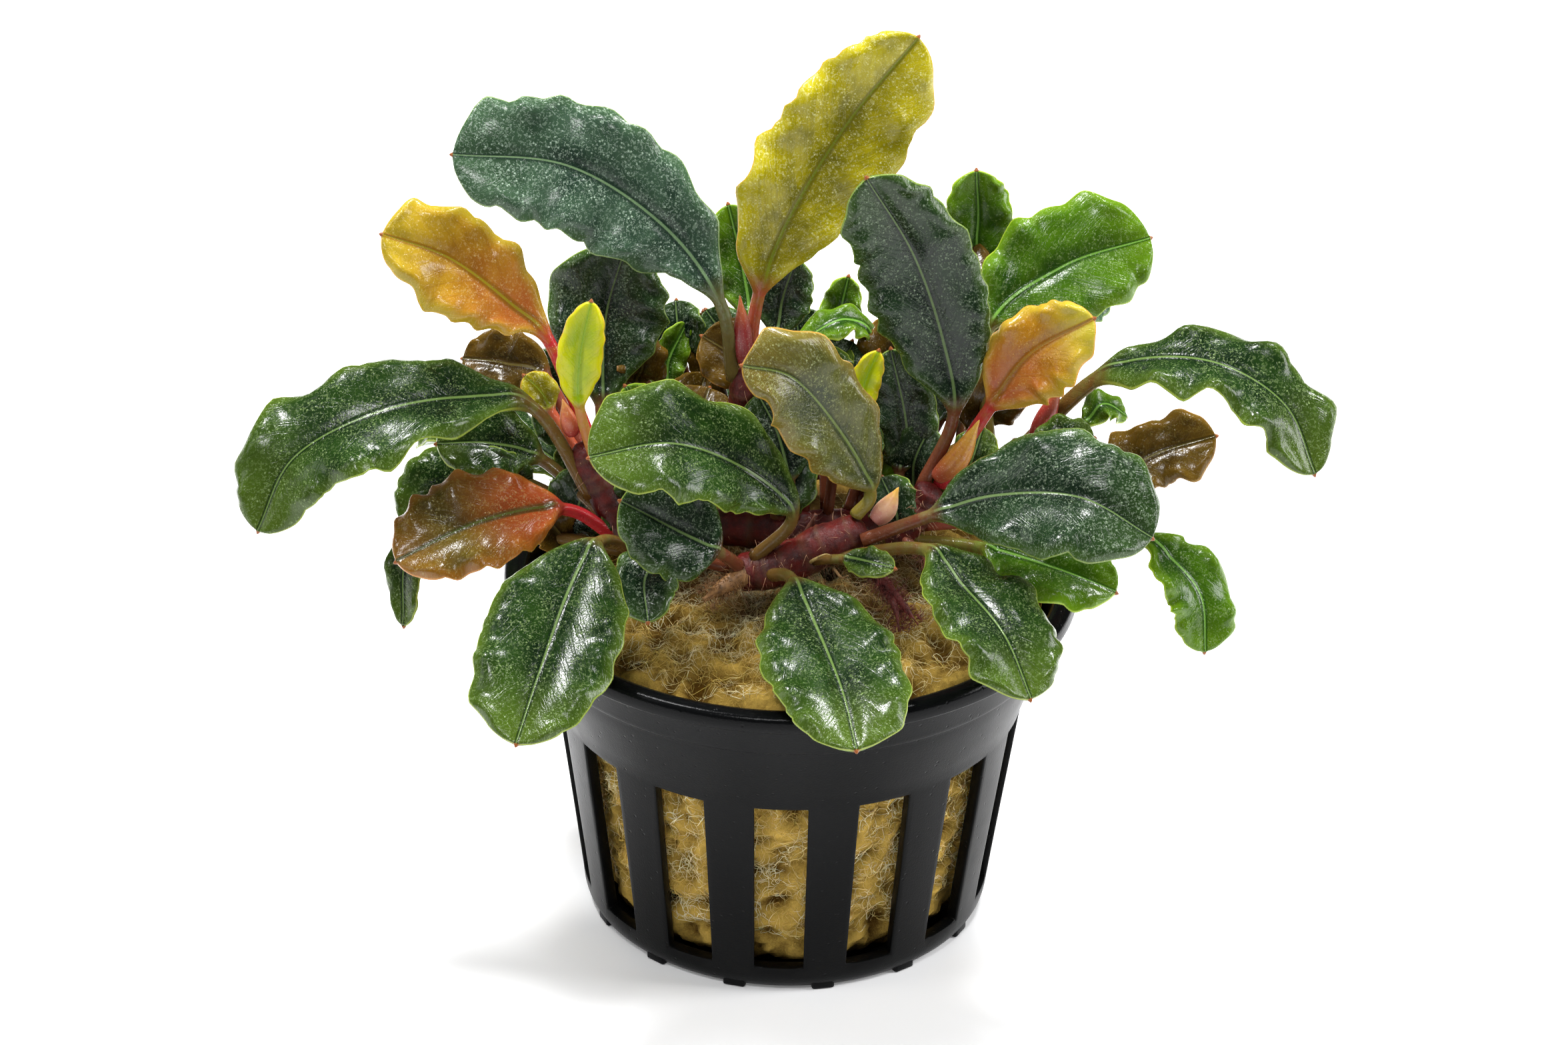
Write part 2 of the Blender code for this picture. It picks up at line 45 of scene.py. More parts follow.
cameraView = {
    "target": (-0.7, 0, 36.54),
    "distance": 550,
    "elevation": 30,   # degrees above the horizon
    "roll": 1.14,
    "lens": 147.5,
}

lighting = {
    "world": 0.14,
    "aim": (0, 0, 40),
    "softboxes": {
        "skylight": dict(place=(-40, 150, 560), size=(420, 300), power=5.0, shine=False),
        "glintLeft": dict(place=(-190, 80, 520), size=(80, 60), power=1.9),
        "glintRight": dict(place=(150, 200, 520), size=(80, 60), power=1.5),
        "glintFront": dict(place=(-60, -330, 470), size=(110, 80), power=0.9),
        "left": dict(place=(-420, -120, 300), size=(160, 300), power=0.45),
        "right": dict(place=(430, -40, 260), size=(150, 320), power=2.0),
    },
}


def addCamera(view):
    elevation, roll = math.radians(view["elevation"]), math.radians(view["roll"])
    back = Vector((0, -math.cos(elevation), math.sin(elevation)))
    right = Vector((1, 0, 0))
    up = back.cross(right)
    tilted = right * math.cos(roll) + up * math.sin(roll)
    upright = up * math.cos(roll) - right * math.sin(roll)
    camera = bpy.data.objects.new("camera", bpy.data.cameras.new("camera"))
    camera.data.lens = view["lens"]
    camera.data.clip_start = 0.01
    place = (Vector(view["target"]) + back * view["distance"]) * mm
    camera.matrix_world = Matrix([*zip(tilted, upright, back, place), (0, 0, 0, 1)])
    bpy.context.scene.collection.objects.link(camera)
    bpy.context.scene.camera = camera


def addSoftbox(name, aim, place, size, power, shine=True):
    lamp = bpy.data.lights.new(name, "AREA")
    lamp.shape = "RECTANGLE"
    lamp.size, lamp.size_y = size[0] * mm, size[1] * mm
    lamp.energy = power
    box = bpy.data.objects.new(name, lamp)
    box.location = Vector(place) * mm
    box.rotation_euler = (Vector(aim) - Vector(place)).to_track_quat("-Z", "Y").to_euler()
    box.visible_glossy = shine
    bpy.context.scene.collection.objects.link(box)


def addLights(setup):
    world = bpy.data.worlds.new("studio")
    world.use_nodes = True
    background = world.node_tree.nodes["Background"]
    background.inputs["Color"].default_value = (1, 1, 1, 1)
    background.inputs["Strength"].default_value = setup["world"]
    bpy.context.scene.world = world
    for name, box in setup["softboxes"].items():
        addSoftbox(name, setup["aim"], **box)
    bpy.context.scene.view_settings.view_transform = "Standard"


# A value in a material's node tree: sums written with it add the math nodes

class Value:
    def __init__(self, tree, socket):
        self.tree, self.socket = tree, socket

    def through(self, operation, *others):
        return addNode(self.tree, "Math", dict(enumerate((self, *others))), operation=operation)

    def __add__(self, other):
        return self.through("ADD", other)

    def __sub__(self, other):
        return self.through("SUBTRACT", other)

    def __mul__(self, other):
        return self.through("MULTIPLY", other)

    def __truediv__(self, other):
        return self.through("DIVIDE", other)

    def __abs__(self):
        return self.through("ABSOLUTE")


def feed(socket, value):
    if isinstance(value, Value):
        value.tree.links.new(value.socket, socket)
    elif socket.type == "RGBA":
        socket.default_value = (*value, 1)
    else:
        socket.default_value = value


def addNode(tree, kind, inputs, output=0, **settings):
    step = tree.nodes.new("ShaderNode" + kind)
    for key, setting in settings.items():
        setattr(step, key, setting)
    for key, value in inputs.items():
        feed(step.inputs[key], value)
    return Value(tree, step.outputs[output])


def startMaterial(name):
    material = bpy.data.materials.new(name)
    material.use_nodes = True
    return material, material.node_tree, material.node_tree.nodes["Principled BSDF"]


def setLook(shader, **values):
    # Base_Color stands for the shader's Base Color, and so on
    for key, value in values.items():
        feed(shader.inputs[key.replace("_", " ")], value)


def blend(factor, first, second):
    return addNode(factor.tree, "Mix", {0: factor, 6: first, 7: second}, 2, data_type="RGBA")


def rise(value, low, high):
    # 0 below low and 1 above high; swap them to fall instead
    ends = (low, high, 0.0, 1.0) if low < high else (high, low, 1.0, 0.0)
    return addNode(value.tree, "MapRange", dict(enumerate((value, *ends))), interpolation_type="SMOOTHSTEP")


def grain(spot, scale, detail=2.0, rough=0.5, distortion=0.0):
    inputs = {"Vector": spot, "Scale": scale, "Detail": detail, "Roughness": rough}
    return addNode(spot.tree, "TexNoise", {**inputs, "Distortion": distortion}, "Fac")


def cells(spot, scale):
    return addNode(spot.tree, "TexVoronoi", {"Vector": spot, "Scale": scale}, "Distance")


def named(tree, name, output="Vector"):
    return addNode(tree, "Attribute", {}, output, attribute_name=name)


def axes(vector):
    step = addNode(vector.tree, "SeparateXYZ", {0: vector})
    return [Value(step.tree, socket) for socket in step.socket.node.outputs]


def joined(x, y, z):
    return addNode(x.tree, "CombineXYZ", {0: x, 1: y, 2: z})


def objectPlace(tree):
    # millimetres in the plant's own frame
    spot = addNode(tree, "TexCoord", {}, "Object")
    return addNode(tree, "VectorMath", {0: spot, "Scale": 1000}, operation="SCALE")


def relief(shader, height, depth, strength=1.0):
    bump = {"Distance": depth * mm, "Strength": strength, "Height": height}
    setLook(shader, Normal=addNode(height.tree, "Bump", bump))


# Small helpers for building meshes

def pieceName(words):
    # "tall_olive leaf" becomes tallOliveLeaf
    first, *others = words.replace("_", " ").split()
    return first + "".join(word.capitalize() for word in others)


def addPiece(name, mesh, material, node=None):
    mesh.materials.append(material)
    piece = bpy.data.objects.new(name, mesh)
    bpy.context.scene.collection.objects.link(piece)
    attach(piece, "root")
    if node:
        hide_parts(node)


def makePiece(name, points, faces, material, slot, node=None, **attributes):
    name = pieceName(name)
    mesh = bpy.data.meshes.new(name)
    mesh.from_pydata((np.asarray(points) * mm).tolist(), [], faces)
    mesh.validate()
    for key, values in attributes.items():
        values = np.asarray(values, dtype="f")
        kind, field = ("FLOAT_VECTOR", "vector") if values.ndim == 2 else ("FLOAT", "value")
        mesh.attributes.new(key, kind, "POINT").data.foreach_set(field, values.ravel())
    mesh.shade_smooth()
    addPiece(name, mesh, material, node)


def skin(rows, count):
    # faces over equal rings that were stored one after the other, closed at both ends
    faces = []
    for near in range(0, (rows - 1) * count, count):
        for i in range(count):
            j = (i + 1) % count
            faces.append((near + i, near + j, near + count + j, near + count + i))
    faces.append(tuple(range(count - 1, -1, -1)))
    faces.append(tuple(range((rows - 1) * count, rows * count)))
    return faces


def stretchAt(lengths, share):
    # which stretch of a line a share of its whole length falls on, and how far along that stretch
    place = share * sum(lengths)
    start = 0
    while start < len(lengths) - 1 and place > lengths[start]:
        place -= lengths[start]
        start += 1
    return start, place / lengths[start]


def along(points, share):
    # a point of the smooth curve through a few points, at a share of its length
    points = [Vector(point) for point in points]
    start, t = stretchAt([(after - point).length for point, after in zip(points, points[1:])], share)
    padded = [2 * points[0] - points[1], *points, 2 * points[-1] - points[-2]]
    a, b, c, d = padded[start:start + 4]
    return 0.5 * (2 * b + (c - a) * t + (2 * a - 5 * b + 4 * c - d) * t**2 + (3 * (b - c) + d - a) * t**3)


def heading(points, share):
    step = 0.01
    return (along(points, share + step) - along(points, share - step)).normalized()


def ease(value, low, high):
    t = min(1, max(0, (value - low) / (high - low)))
    return t * t * (3 - 2 * t)


def limb(radius, *points, **more):
    return dict(more, radius=radius, points=points)


def ringPoints(centre, ahead, radius, sides, spin=0.0, lean=(0.1, 1, 0.2)):
    across = ahead.cross(Vector(lean)).normalized()
    up = across.cross(ahead)
    angles = [spin + 2 * math.pi * i / sides for i in range(sides)]
    return [(centre + radius * (math.cos(a) * across + math.sin(a) * up), a) for a in angles]


def addThreads(name, paths, material, slot, sides=3):
    # fine tubes, each a list of (point, radius)
    points, faces = [], []
    for path in paths:
        base, places = len(points), [place for place, radius in path]
        for i, (place, radius) in enumerate(path):
            ahead = (places[min(i + 1, len(path) - 1)] - places[max(i - 1, 0)]).normalized()
            ring = ringPoints(place, ahead, radius, sides, 0.0, (0.31, 0.52, 0.8))
            points += [tuple(point) for point, angle in ring]
        faces += [tuple(base + corner for corner in face) for face in skin(len(path), sides)]
    makePiece(name, points, faces, material, slot)


# The rhizome forks: points along the axis from the old end to the growing tip

rhizomeForks = {
    "core": limb(1.6, (-9.5, 2, 35.3), (-3, 0.5, 35.5), (3.5, 1.2, 35.5), (9.5, 3.2, 35.4)),
    "front": limb(1.8, (-5, -6.6, 35.2), (-1.5, -7, 36.2), (2.5, -7, 38.2), (6.2, -6.5, 40)),
    "left": limb(1.3, (-12.4, -3.6, 35.4), (-14.6, -4, 38.3), (-16.6, -3.2, 42), (-18.2, -2.2, 45.2)),
    "right": limb(1.4, (8.6, -1.8, 35.4), (10.4, -2, 38.6), (11.9, -2, 41.6)),
    "back": limb(1.3, (-5.6, 5.6, 35.4), (-5, 4.4, 41), (-4.4, 3, 46.5), (-4.2, 2.2, 50.3)),
    "far_right": limb(1.3, (14, 2.6, 35.6), (17, 2.6, 39.8), (20, 2.2, 43.6)),
    "rear": limb(1.5, (-2, 9.6, 35.2), (3, 12.4, 36.2), (7.6, 13.4, 39)),
}


def leaf(stem, at, width, face, midrib, colour="green", **more):
    return dict(more, stem=stem, at=at, width=width, face=face, midrib=midrib, colour=colour)


# Leaves: the fork each one stands on and how far along it, its width, the way the upper side looks, and
# the midrib from the top of the petiole to the tip. Belly is how far along the blade is widest, and trim
# is how much wider the left and the right half are at a share of the blade, nothing at its ends
leafTable = {
    "tall_olive": leaf("back", 0.97, 10, (2, -9, 4),
        ((-3.2, 4, 56.5), (-0.8, 5.5, 63.1), (4, 7.5, 71.2), (9.7, 9, 78.4)),
        "olive", ruffle=0.7, waves=4, lobeOut=0.7,
        lobes=((0.2, 0.38, 0.52, 0.66, 0.84, 0.95), (0.27, 0.48, 0.75, 0.93)),
        trim={0.1: (-0.7, 0), 0.4: (-0.7, 0), 0.62: (0, -0.9), 0.9: (0, -1.1)}),
    "big_teal": leaf("back", 0.92, 10.6, (-1, -8, 6),
        ((-6.5, 1, 57.3), (-11.4, 3, 63.4), (-19.4, 4.5, 68), (-29, 4, 69.1)),
        "teal", belly=0.6, ruffle=0.8, waves=4, lobeOut=1,
        lobes=((0.15, 0.33, 0.52, 0.8), (0.2, 0.38, 0.6, 0.8)),
        trim={0.2: (-0.3, 0.5), 0.32: (-0.7, 0.5), 0.5: (0, 0), 0.8: (0, 0), 0.88: (-0.4, -0.8),
            0.94: (-0.3, -1.1)}),
    "amber": leaf("left", 0.98, 8, (0, -7, 6),
        ((-20.8, 0, 53.7), (-24, 1.2, 56.5), (-29.2, 2, 60.3), (-34.8, 1, 63)), "amber", belly=0.62,
        lobes=((0.25, 0.38, 0.52, 0.85), (0.2, 0.43, 0.58, 0.78)),
        trim={0.4: (-0.4, 0.4), 0.6: (-0.9, 0), 0.8: (-0.2, -0.2), 0.93: (0, -0.7)}),
    "lime": leaf("left", 0.8, 3.7, (0, -9, 3), ((-18.1, -3, 49), (-18.1, -2.6, 53.7), (-17.2, -2, 58.6)),
        "lime", ruffle=0.2, petiole=0.45),
    "long_left": leaf("left", 0.6, 9.6, (0, -4, 9),
        ((-22, -2, 48.3), (-28.2, -3, 49.6), (-35.4, -4.5, 48.7), (-42, -6.5, 45.4), (-44.9, -9, 39.9)),
        belly=0.55, ruffle=0.7, waves=4, lobeOut=0.85,
        lobes=((0.26, 0.5, 0.6, 0.83), (0.2, 0.4, 0.63, 0.79, 0.92)),
        trim={0.4: (0.4, 0.5), 0.55: (1, 0), 0.7: (0.3, -0.9), 0.85: (0, -0.2)}),
    "orange_left": leaf("left", 0.3, 9, (0, -5, 9),
        ((-19.4, -6, 40.9), (-26.2, -9, 41.1), (-33.1, -12, 38.9)), "orange", look="russet", waves=4,
        lobes=((0.2, 0.4, 0.63, 0.88), (0.25, 0.38, 0.58, 0.68, 0.82)),
        trim={0.15: (0, -0.5), 0.9: (0, -0.5)}),
    "big_oval": leaf("left", 0.15, 11.6, (0, -3, 9),
        ((-16.3, -9, 39.4), (-18.5, -14, 37.7), (-20.7, -21, 33.8), (-22.4, -27, 30.5)),
        ruffle=0.3, lobeOut=0.3,
        lobes=((0.2, 0.42, 0.55, 0.75), (0.15, 0.35, 0.5, 0.68, 0.93)),
        trim={0.2: (-0.35, 0), 0.75: (-0.35, 0), 0.87: (-0.2, -0.8), 0.95: (0, 0)}),
    "centre_left": leaf("front", 0.2, 9.4, (-1, -6, 8),
        ((0, -8, 41.8), (-3.8, -9.5, 46.8), (-10, -11.5, 50.4), (-16.9, -14, 50.4)), belly=0.6, ruffle=0.6,
        lobes=((0.2, 0.38, 0.68), (0.1, 0.3, 0.55, 0.75)),
        trim={0.3: (0, -0.5), 0.5: (0.2, -0.3), 0.68: (0.7, -0.8), 0.86: (-0.5, -1.2), 0.93: (-0.6, -0.6)}),
    "dark_under": leaf("front", 0.08, 8.2, (0, -7, 7),
        ((-6.3, -9.6, 39.2), (-9.7, -10.2, 41.4), (-14.4, -10.8, 44.5)), "dark", baseTaper=14),
    "front_oval": leaf("front", 0.3, 11, (0, -2, 9),
        ((0.1, -11, 37.3), (2.3, -17, 35.8), (4.4, -24, 34.2), (5.6, -30, 32.4)),
        belly=0.55, ruffle=0.3, lobeOut=0.4,
        lobes=((0.2, 0.45, 0.62, 0.82), (0.15, 0.35, 0.5, 0.68, 0.85)),
        trim={0.1: (0.3, 0.4), 0.3: (0.6, 0.6), 0.5: (0, 0.5), 0.7: (-0.4, 0.1), 0.9: (-0.5, 0)}),
    "front_right": leaf("front", 0.7, 9.1, (2, -3, 9),
        ((11, -10, 40), (14.4, -14.5, 38.8), (17.7, -19.5, 37.2), (19.9, -24, 34)), belly=0.55,
        lobes=((0.2, 0.42, 0.7, 0.88), (0.2, 0.45, 0.72, 0.95)),
        trim={0.2: (0.5, 0), 0.5: (0.5, -0.2), 0.7: (0, 0), 0.85: (-0.3, -0.6)}),
    "big_dark_right": leaf("front", 0.95, 11, (1, -6, 8),
        ((11.4, -8, 42), (17, -9.5, 44.9), (23.9, -12, 46.3), (29.9, -14, 43.8)), "dark", belly=0.6,
        lobes=((0.25, 0.48, 0.7, 0.9), (0.3, 0.62, 0.93)),
        trim={0.3: (-0.2, 0.1), 0.5: (-0.2, 0.5), 0.62: (-0.6, 0.7), 0.7: (0, 0.4), 0.84: (-0.4, -0.6),
            0.95: (-0.3, -0.2)}),
    "tiny_front": leaf("front", 0.6, 2.9, (0, -5, 8),
        ((4.4, -10, 38.9), (6.5, -11.5, 39.4), (8.6, -12.5, 39.5)), ruffle=0.2, petiole=0.4),
    "bronze": leaf("front", 0.98, 7.6, (3, -8, 5),
        ((6.5, -6.5, 43.6), (3.9, -7.5, 49.5), (-0.2, -9, 55.5), (-4.4, -10, 57.2)),
        "bronze", belly=0.46,
        lobes=((0.2, 0.42, 0.62, 0.86), (0.22, 0.44, 0.64, 0.82)),
        trim={0.2: (0, 0), 0.45: (-0.5, -0.3), 0.6: (-0.8, -0.6), 0.75: (-0.7, -1), 0.92: (-0.3, -1)}),
    "upright_dark": leaf("right", 0.85, 9.4, (0, -9, 3),
        ((13.5, 0, 47.4), (12.4, 1, 54.1), (9.7, 1.5, 61.9), (5.6, 0, 69.7)), "dark", ruffle=0.6,
        lobes=((0.3, 0.5, 0.64, 0.8, 0.93), (0.2, 0.35, 0.52, 0.76, 0.9)),
        trim={0.4: (-0.4, 0), 0.5: (0.3, 0), 0.62: (0.4, -0.2), 0.8: (-0.6, 0), 0.9: (-0.8, -0.5)}),
    "orange_young": leaf("right", 0.98, 6.6, (-2, -8, 5),
        ((16.5, -0.5, 48.4), (19.7, -0.5, 53.6), (24.9, -1.5, 57.7)), "orange", ruffle=0.4,
        lobes=((0.25, 0.5, 0.72, 0.9), (0.2, 0.4, 0.6, 0.8)),
        trim={0.2: (0, -1), 0.7: (-0.2, -1.1), 0.85: (0, -0.5)}),
    "bright_right": leaf("far_right", 0.6, 9.9, (0, -7, 6),
        ((16.4, 7, 51.8), (22.5, 10, 56.4), (30.1, 12, 58.4)), "bright", belly=0.58,
        lobes=((0.2, 0.4, 0.6, 0.85), (0.25, 0.5, 0.8, 0.93)),
        trim={0.3: (0.9, 0), 0.45: (0.6, 0), 0.6: (0, 0.3), 0.75: (-0.6, 0.3), 0.9: (-0.4, 0.3)}),
    "arching_right": leaf("far_right", 0.9, 7.2, (0, -3, 9),
        ((25.3, 2, 50), (30.2, 0.5, 52.8), (36, -1.5, 53.3), (41.2, -4, 50.9), (43.7, -7, 46.3)),
        belly=0.58, ruffle=0.8, waves=4,
        lobes=((0.35, 0.6, 0.82), (0.08, 0.3, 0.52, 0.7)),
        trim={0: (0, -0.5), 0.1: (0, -1.1), 0.35: (0, -1.1), 0.48: (-0.6, -0.3), 0.6: (0.3, 0.1),
            0.7: (0, 0.6), 0.82: (0.7, 0), 0.88: (0.2, -1.1)}),
    "brown_right": leaf("far_right", 0.4, 5.6, (0, -7, 7),
        ((26.2, 3, 39.5), (31.3, 4, 41.8), (36.1, 4, 43.6)), "brown",
        lobes=((0.25, 0.58, 0.85), (0.3, 0.6, 0.88)),
        trim={0: (0.5, 0), 0.25: (1.1, 0), 0.5: (0, 0), 0.65: (-0.2, -0.3), 0.8: (-0.8, -1.1),
            0.92: (-0.5, -0.5)}),
    "low_right": leaf("far_right", 0.15, 6, (3, -5, 8),
        ((29, -4, 38.1), (32.2, -5.5, 36.7), (34.7, -7, 34), (35.2, -9, 29.9)), "bright", belly=0.58,
        lobes=((0.3, 0.5, 0.75, 0.95), (0.2, 0.45, 0.64, 0.85)),
        trim={0.2: (-0.4, 0), 0.5: (-0.4, 0), 0.64: (0, 0.3), 0.8: (0, 0), 0.9: (-0.5, 0)}),
    "shiny_under": leaf("right", 0.25, 7.6, (0, -4, 9),
        ((16.1, -5, 37.3), (22.6, -9, 37.5), (27.3, -11, 36.7)), "bright"),
    "pale_back": leaf("rear", 0.9, 5.8, (1, -9, -3),
        ((14.3, 14, 49.7), (15.4, 15.5, 57.1), (15.2, 16, 62.5)), "bright", belly=0.6, ruffle=0.8),
    "dark_back_left": leaf("left", 0.5, 9.7, (0, -8, 5),
        ((-16.3, 4, 45.2), (-16.3, 8, 51.6), (-14.7, 9, 58)), "dark", belly=0.62,
        trim={0: (-0.2, -0.2), 0.5: (-0.4, -0.4), 1: (-0.2, -0.2)}),
    "brown_back_left": leaf("left", 0.7, 6, (0, -7, 7),
        ((-21.1, 4, 47.7), (-24.7, 5, 48.7), (-28.4, 6, 48.6)), "brown"),
    "bright_behind": leaf("back", 0.7, 5.2, (0, -8, 6), ((-4, 8, 51.7), (-4.7, 10.5, 55.7), (-6, 12, 60.8)),
        "bright"),
    "dark_behind": leaf("back", 0.4, 4.8, (0, -8, 6),
        ((-1.8, 6.6, 50.7), (-1.2, 7.6, 54.1), (-0.1, 8, 57.9)), "dark"),
    "curled_lime": leaf("rear", 0.5, 3.2, (0, -4, 9), ((6.3, 8.6, 49.2), (4.1, 7.2, 52.3), (0.2, 4, 51.8)),
        "lime", look="bright", petiole=0.4),
    "dark_vertical": leaf("right", 0.5, 5.4, (0, -9, 3), ((9.1, 2, 40.4), (9.6, 3, 44.5), (8.1, 4, 51.4)),
        "dark", petiole=0.45),
    "green_left_under": leaf("left", 0.4, 7, (0, -6, 8),
        ((-21.4, 0.2, 42.1), (-25.6, 0, 43.6), (-30.3, -1, 44.1)), ruffle=0.3),
    "rounded_left": leaf("left", 0.22, 7.6, (0, -6, 8), ((-23, 0, 40), (-28.6, -0.5, 40.1),
        (-33, -3, 37.1)), ruffle=0.3),
    "curled_low_left": leaf("left", 0.08, 3.8, (-4, -4, 8),
        ((-24.9, -4, 37.6), (-31.9, -7, 37.5), (-32.7, -10, 31.5)), ruffle=0.4),
    "dark_low_left": leaf("front", 0, 5.4, (0, -4, 9),
        ((-9.9, -8.5, 37.9), (-12.2, -12, 37.8), (-11.9, -16, 35.9)), "dark"),
    "dark_centre": leaf("core", 0.5, 6.6, (0, -8, 5), ((-0.3, -1, 41.2), (-1.4, 0.5, 45),
        (-3.1, 1.5, 48.2)), "dark"),
    "small_behind_left": leaf("back", 0.35, 3, (0, -8, 5),
        ((-10, 8, 43.9), (-11, 9.5, 46.3), (-9.4, 11, 49.9)), "bright", petiole=0.4),
    "small_behind": leaf("back", 0.3, 4, (0, -8, 5), ((-6.7, 9, 44.1), (-7.4, 10.5, 47.2), (-8, 12, 50.4)),
        "brown", petiole=0.4),
    "small_back_right": leaf("far_right", 0.7, 3, (0, -4, 9),
        ((24.7, 8, 42), (26.6, 9.5, 43.3), (28.7, 10.5, 41.7)), "bright", petiole=0.4),
    "flat_right": leaf("far_right", 0.5, 3.8, (0, -4, 9),
        ((20.1, -0.5, 44.6), (22.5, -0.8, 46), (25.4, -1, 46)), ruffle=0.4, petiole=0.4),
    "yellow_left": leaf("left", 0.85, 3, (0, -7, 7),
        ((-20.6, 1.6, 46), (-21.6, 2.2, 47.6), (-23, 2.6, 48.9)),
        "lime", look="olive", ruffle=0.2, petiole=0.4),
    "small_behind_centre": leaf("rear", 0.3, 3.4, (0, -8, 5),
        ((3.2, 10.5, 48), (3.8, 10.5, 51.7), (4.4, 11, 54.6)), "bright", petiole=0.4),
    "yellow_centre": leaf("core", 0.85, 2.6, (0, -8, 5), ((5.5, 1, 45.5), (5.8, 1.6, 49), (7, 2, 52.3)),
        "lime", ruffle=0.2, petiole=0.4),
    "back_left": leaf("rear", 0.15, 10.5, (0, 3, 9), ((-4.6, 14, 37.6), (-8, 21, 37), (-11, 28, 32))),
    "back_middle": leaf("rear", 0.5, 11, (0, 3, 9), ((3, 17, 38), (4.5, 24, 38), (6.5, 30.5, 33)),
        "dark"),
    "back_right": leaf("rear", 0.97, 10.5, (-2, 3, 9), ((10, 17.5, 40), (14, 23, 42), (18.5, 28.5, 39))),
    "back_upright": leaf("far_right", 0.3, 9.5, (-3, -5, 8), ((17, 9.5, 43.5), (21, 14, 49),
        (26, 19, 50.5)), "teal"),
    "back_far_left": leaf("back", 0.15, 9.5, (-2, 4, 9),
        ((-9.5, 9.5, 41), (-14.5, 14.5, 43.5), (-18, 20, 42)), "bronze"),
    "back_low_left": leaf("left", 0.02, 8.6, (-3, 3, 9),
        ((-17.5, 4, 37), (-25.5, 9.5, 39.5), (-32.5, 13.5, 36))),
}

leafShape = {
    "belly": 0.5,
    "cup": 0.12,
    "ruffle": 0.5,
    "waves": 3,
    "petiole": 0.55,
    "bluntness": 0.45,
    "baseTaper": 6,
    "bladeRows": 58,
    "petioleRows": 9,
    "thickness": 0.17,       # half of it, out in the blade
    "ribThickness": 0.30,    # and at the midrib
    "groove": 0.16,          # on both sides of the midrib
    "lobes": 3.6,            # length of each swelling of the margin, or their shares: (left, right)
    "trim": {},
    "lobeOut": 0.6,          # how far they push the outline out
    "lobeUp": 0.6,           # and how far they dome up just inside it
    "ripple": 2.2,           # length of the finer ripples along the margin
    "rippleOut": 0.05,
    "rippleUp": 0.06,
    "arch": 0.10,            # how far each half of the blade bows up between midrib and margin
    "quilting": 0.05,        # how far the blade swells between its side veins
    "veins": 2.1,            # distance between those veins
    "point": 0.3,            # length of the red point at the tip
}

# places across the blade, 0 at the midrib and 1 at the margin
acrossSteps = (0, 0.022, 0.05, 0.1, 0.18, 0.28, 0.39, 0.5, 0.61, 0.71, 0.8, 0.87, 0.925, 0.965, 0.99)
underSteps = (0, 0.06, 0.15, 0.32, 0.52, 0.72, 0.88, 0.96)
upperSide = [-1, *(-v for v in reversed(acrossSteps[1:])), *acrossSteps, 1]
lowerSide = [*reversed(underSteps[1:]), *(-v for v in underSteps)]


def leafRoot(spec):
    # where the petiole meets its rhizome, at the surface on the side that the leaf leans to
    stem = rhizomeForks[spec["stem"]]
    axisPoint = along(stem["points"], spec["at"])
    axis = heading(stem["points"], spec["at"])
    reach = (Vector(spec["midrib"][0]) - axisPoint).normalized()
    side = (reach - reach.dot(axis) * axis).normalized()
    return axisPoint + side * stem["radius"] * 0.8


def bladeWidth(share, spec):
    opening = spec["bluntness"] * spec["belly"] / (1 - spec["belly"])
    widest = spec["belly"] ** opening * (1 - spec["belly"]) ** spec["bluntness"]
    left = max(1 - share, 0)
    shape = share**opening * left ** spec["bluntness"] / widest * (1 - left ** spec["baseTaper"])
    return spec["petiole"] * left**3 + spec["width"] / 2 * shape


def trimAt(share, spec, which):
    trims = {0: (0, 0), 1: (0, 0), **spec["trim"]}
    shares = sorted(trims)
    return float(np.interp(share, shares, [trims[place][which] for place in shares]))


def marginLobes(spec, dice, bladeLength):
    # where the swellings of the left and of the right margin are, and how large each is
    sides = []
    for which in (0, 1):
        if isinstance(spec["lobes"], tuple):
            centres = spec["lobes"][which]
        else:
            count = max(3, round(bladeLength / spec["lobes"]) + dice.choice((-1, 0, 0, 1)))
            first = dice.uniform(0.1, 0.2)
            centres = [first + (0.93 - first) * (i + dice.uniform(-0.2, 0.2)) / (count - 1)
                       for i in range(count)]
        sizes = [dice.uniform(0.75, 1.15) for centre in centres]
        ends = [2 * centres[0] - centres[1], *centres, 2 * centres[-1] - centres[-2]]
        sides.append((ends, [sizes[0], *sizes, sizes[-1]]))
    return sides


def lobeAt(share, margin):
    # 1 on top of a swelling and 0 halfway to the next
    centres, sizes = margin
    turn = np.interp(share, centres, range(len(centres)))
    return float(np.interp(share, centres, sizes) * (0.5 + 0.5 * math.cos(2 * math.pi * turn)) ** 0.8)


def rippleAt(share, length, wander, which):
    bend = 0.35 * math.sin(7 * share + wander + which)
    return math.sin(2 * math.pi * (length + which * 0.4 + bend))


def leafStations(spec, small):
    # how far along the blade each ring is, below 0 on the petiole, and how far past the tip
    rows = int(spec["bladeRows"] * (0.6 + 0.4 * small))
    even = [i / rows for i in range(rows)]
    stations = [(-1 + i / spec["petioleRows"], 0) for i in range(spec["petioleRows"])]
    stations += [(0.6 * w + 0.2 * (1 - math.cos(math.pi * w)), 0) for w in even]
    stations += [(u, 0) for u in (0.992, 0.9965, 0.9988)]
    return stations + [(1, spec["point"] * beyond) for beyond in (0.1, 0.35, 0.6, 0.85, 1)]


def ringHalf(u, beyond, spec):
    if u < 0:
        return spec["petiole"] * (1 + 0.12 * u * u)
    pointHalf = 0.2 * (1 - beyond / spec["point"]) ** 0.7 + 0.03
    if beyond:
        return pointHalf
    return max(bladeWidth(u, spec), pointHalf) if u > 0.98 else bladeWidth(u, spec)


def near(distance, reach):
    # 1 at no distance, and little past the reach
    return math.exp(-(distance / reach) ** 2)


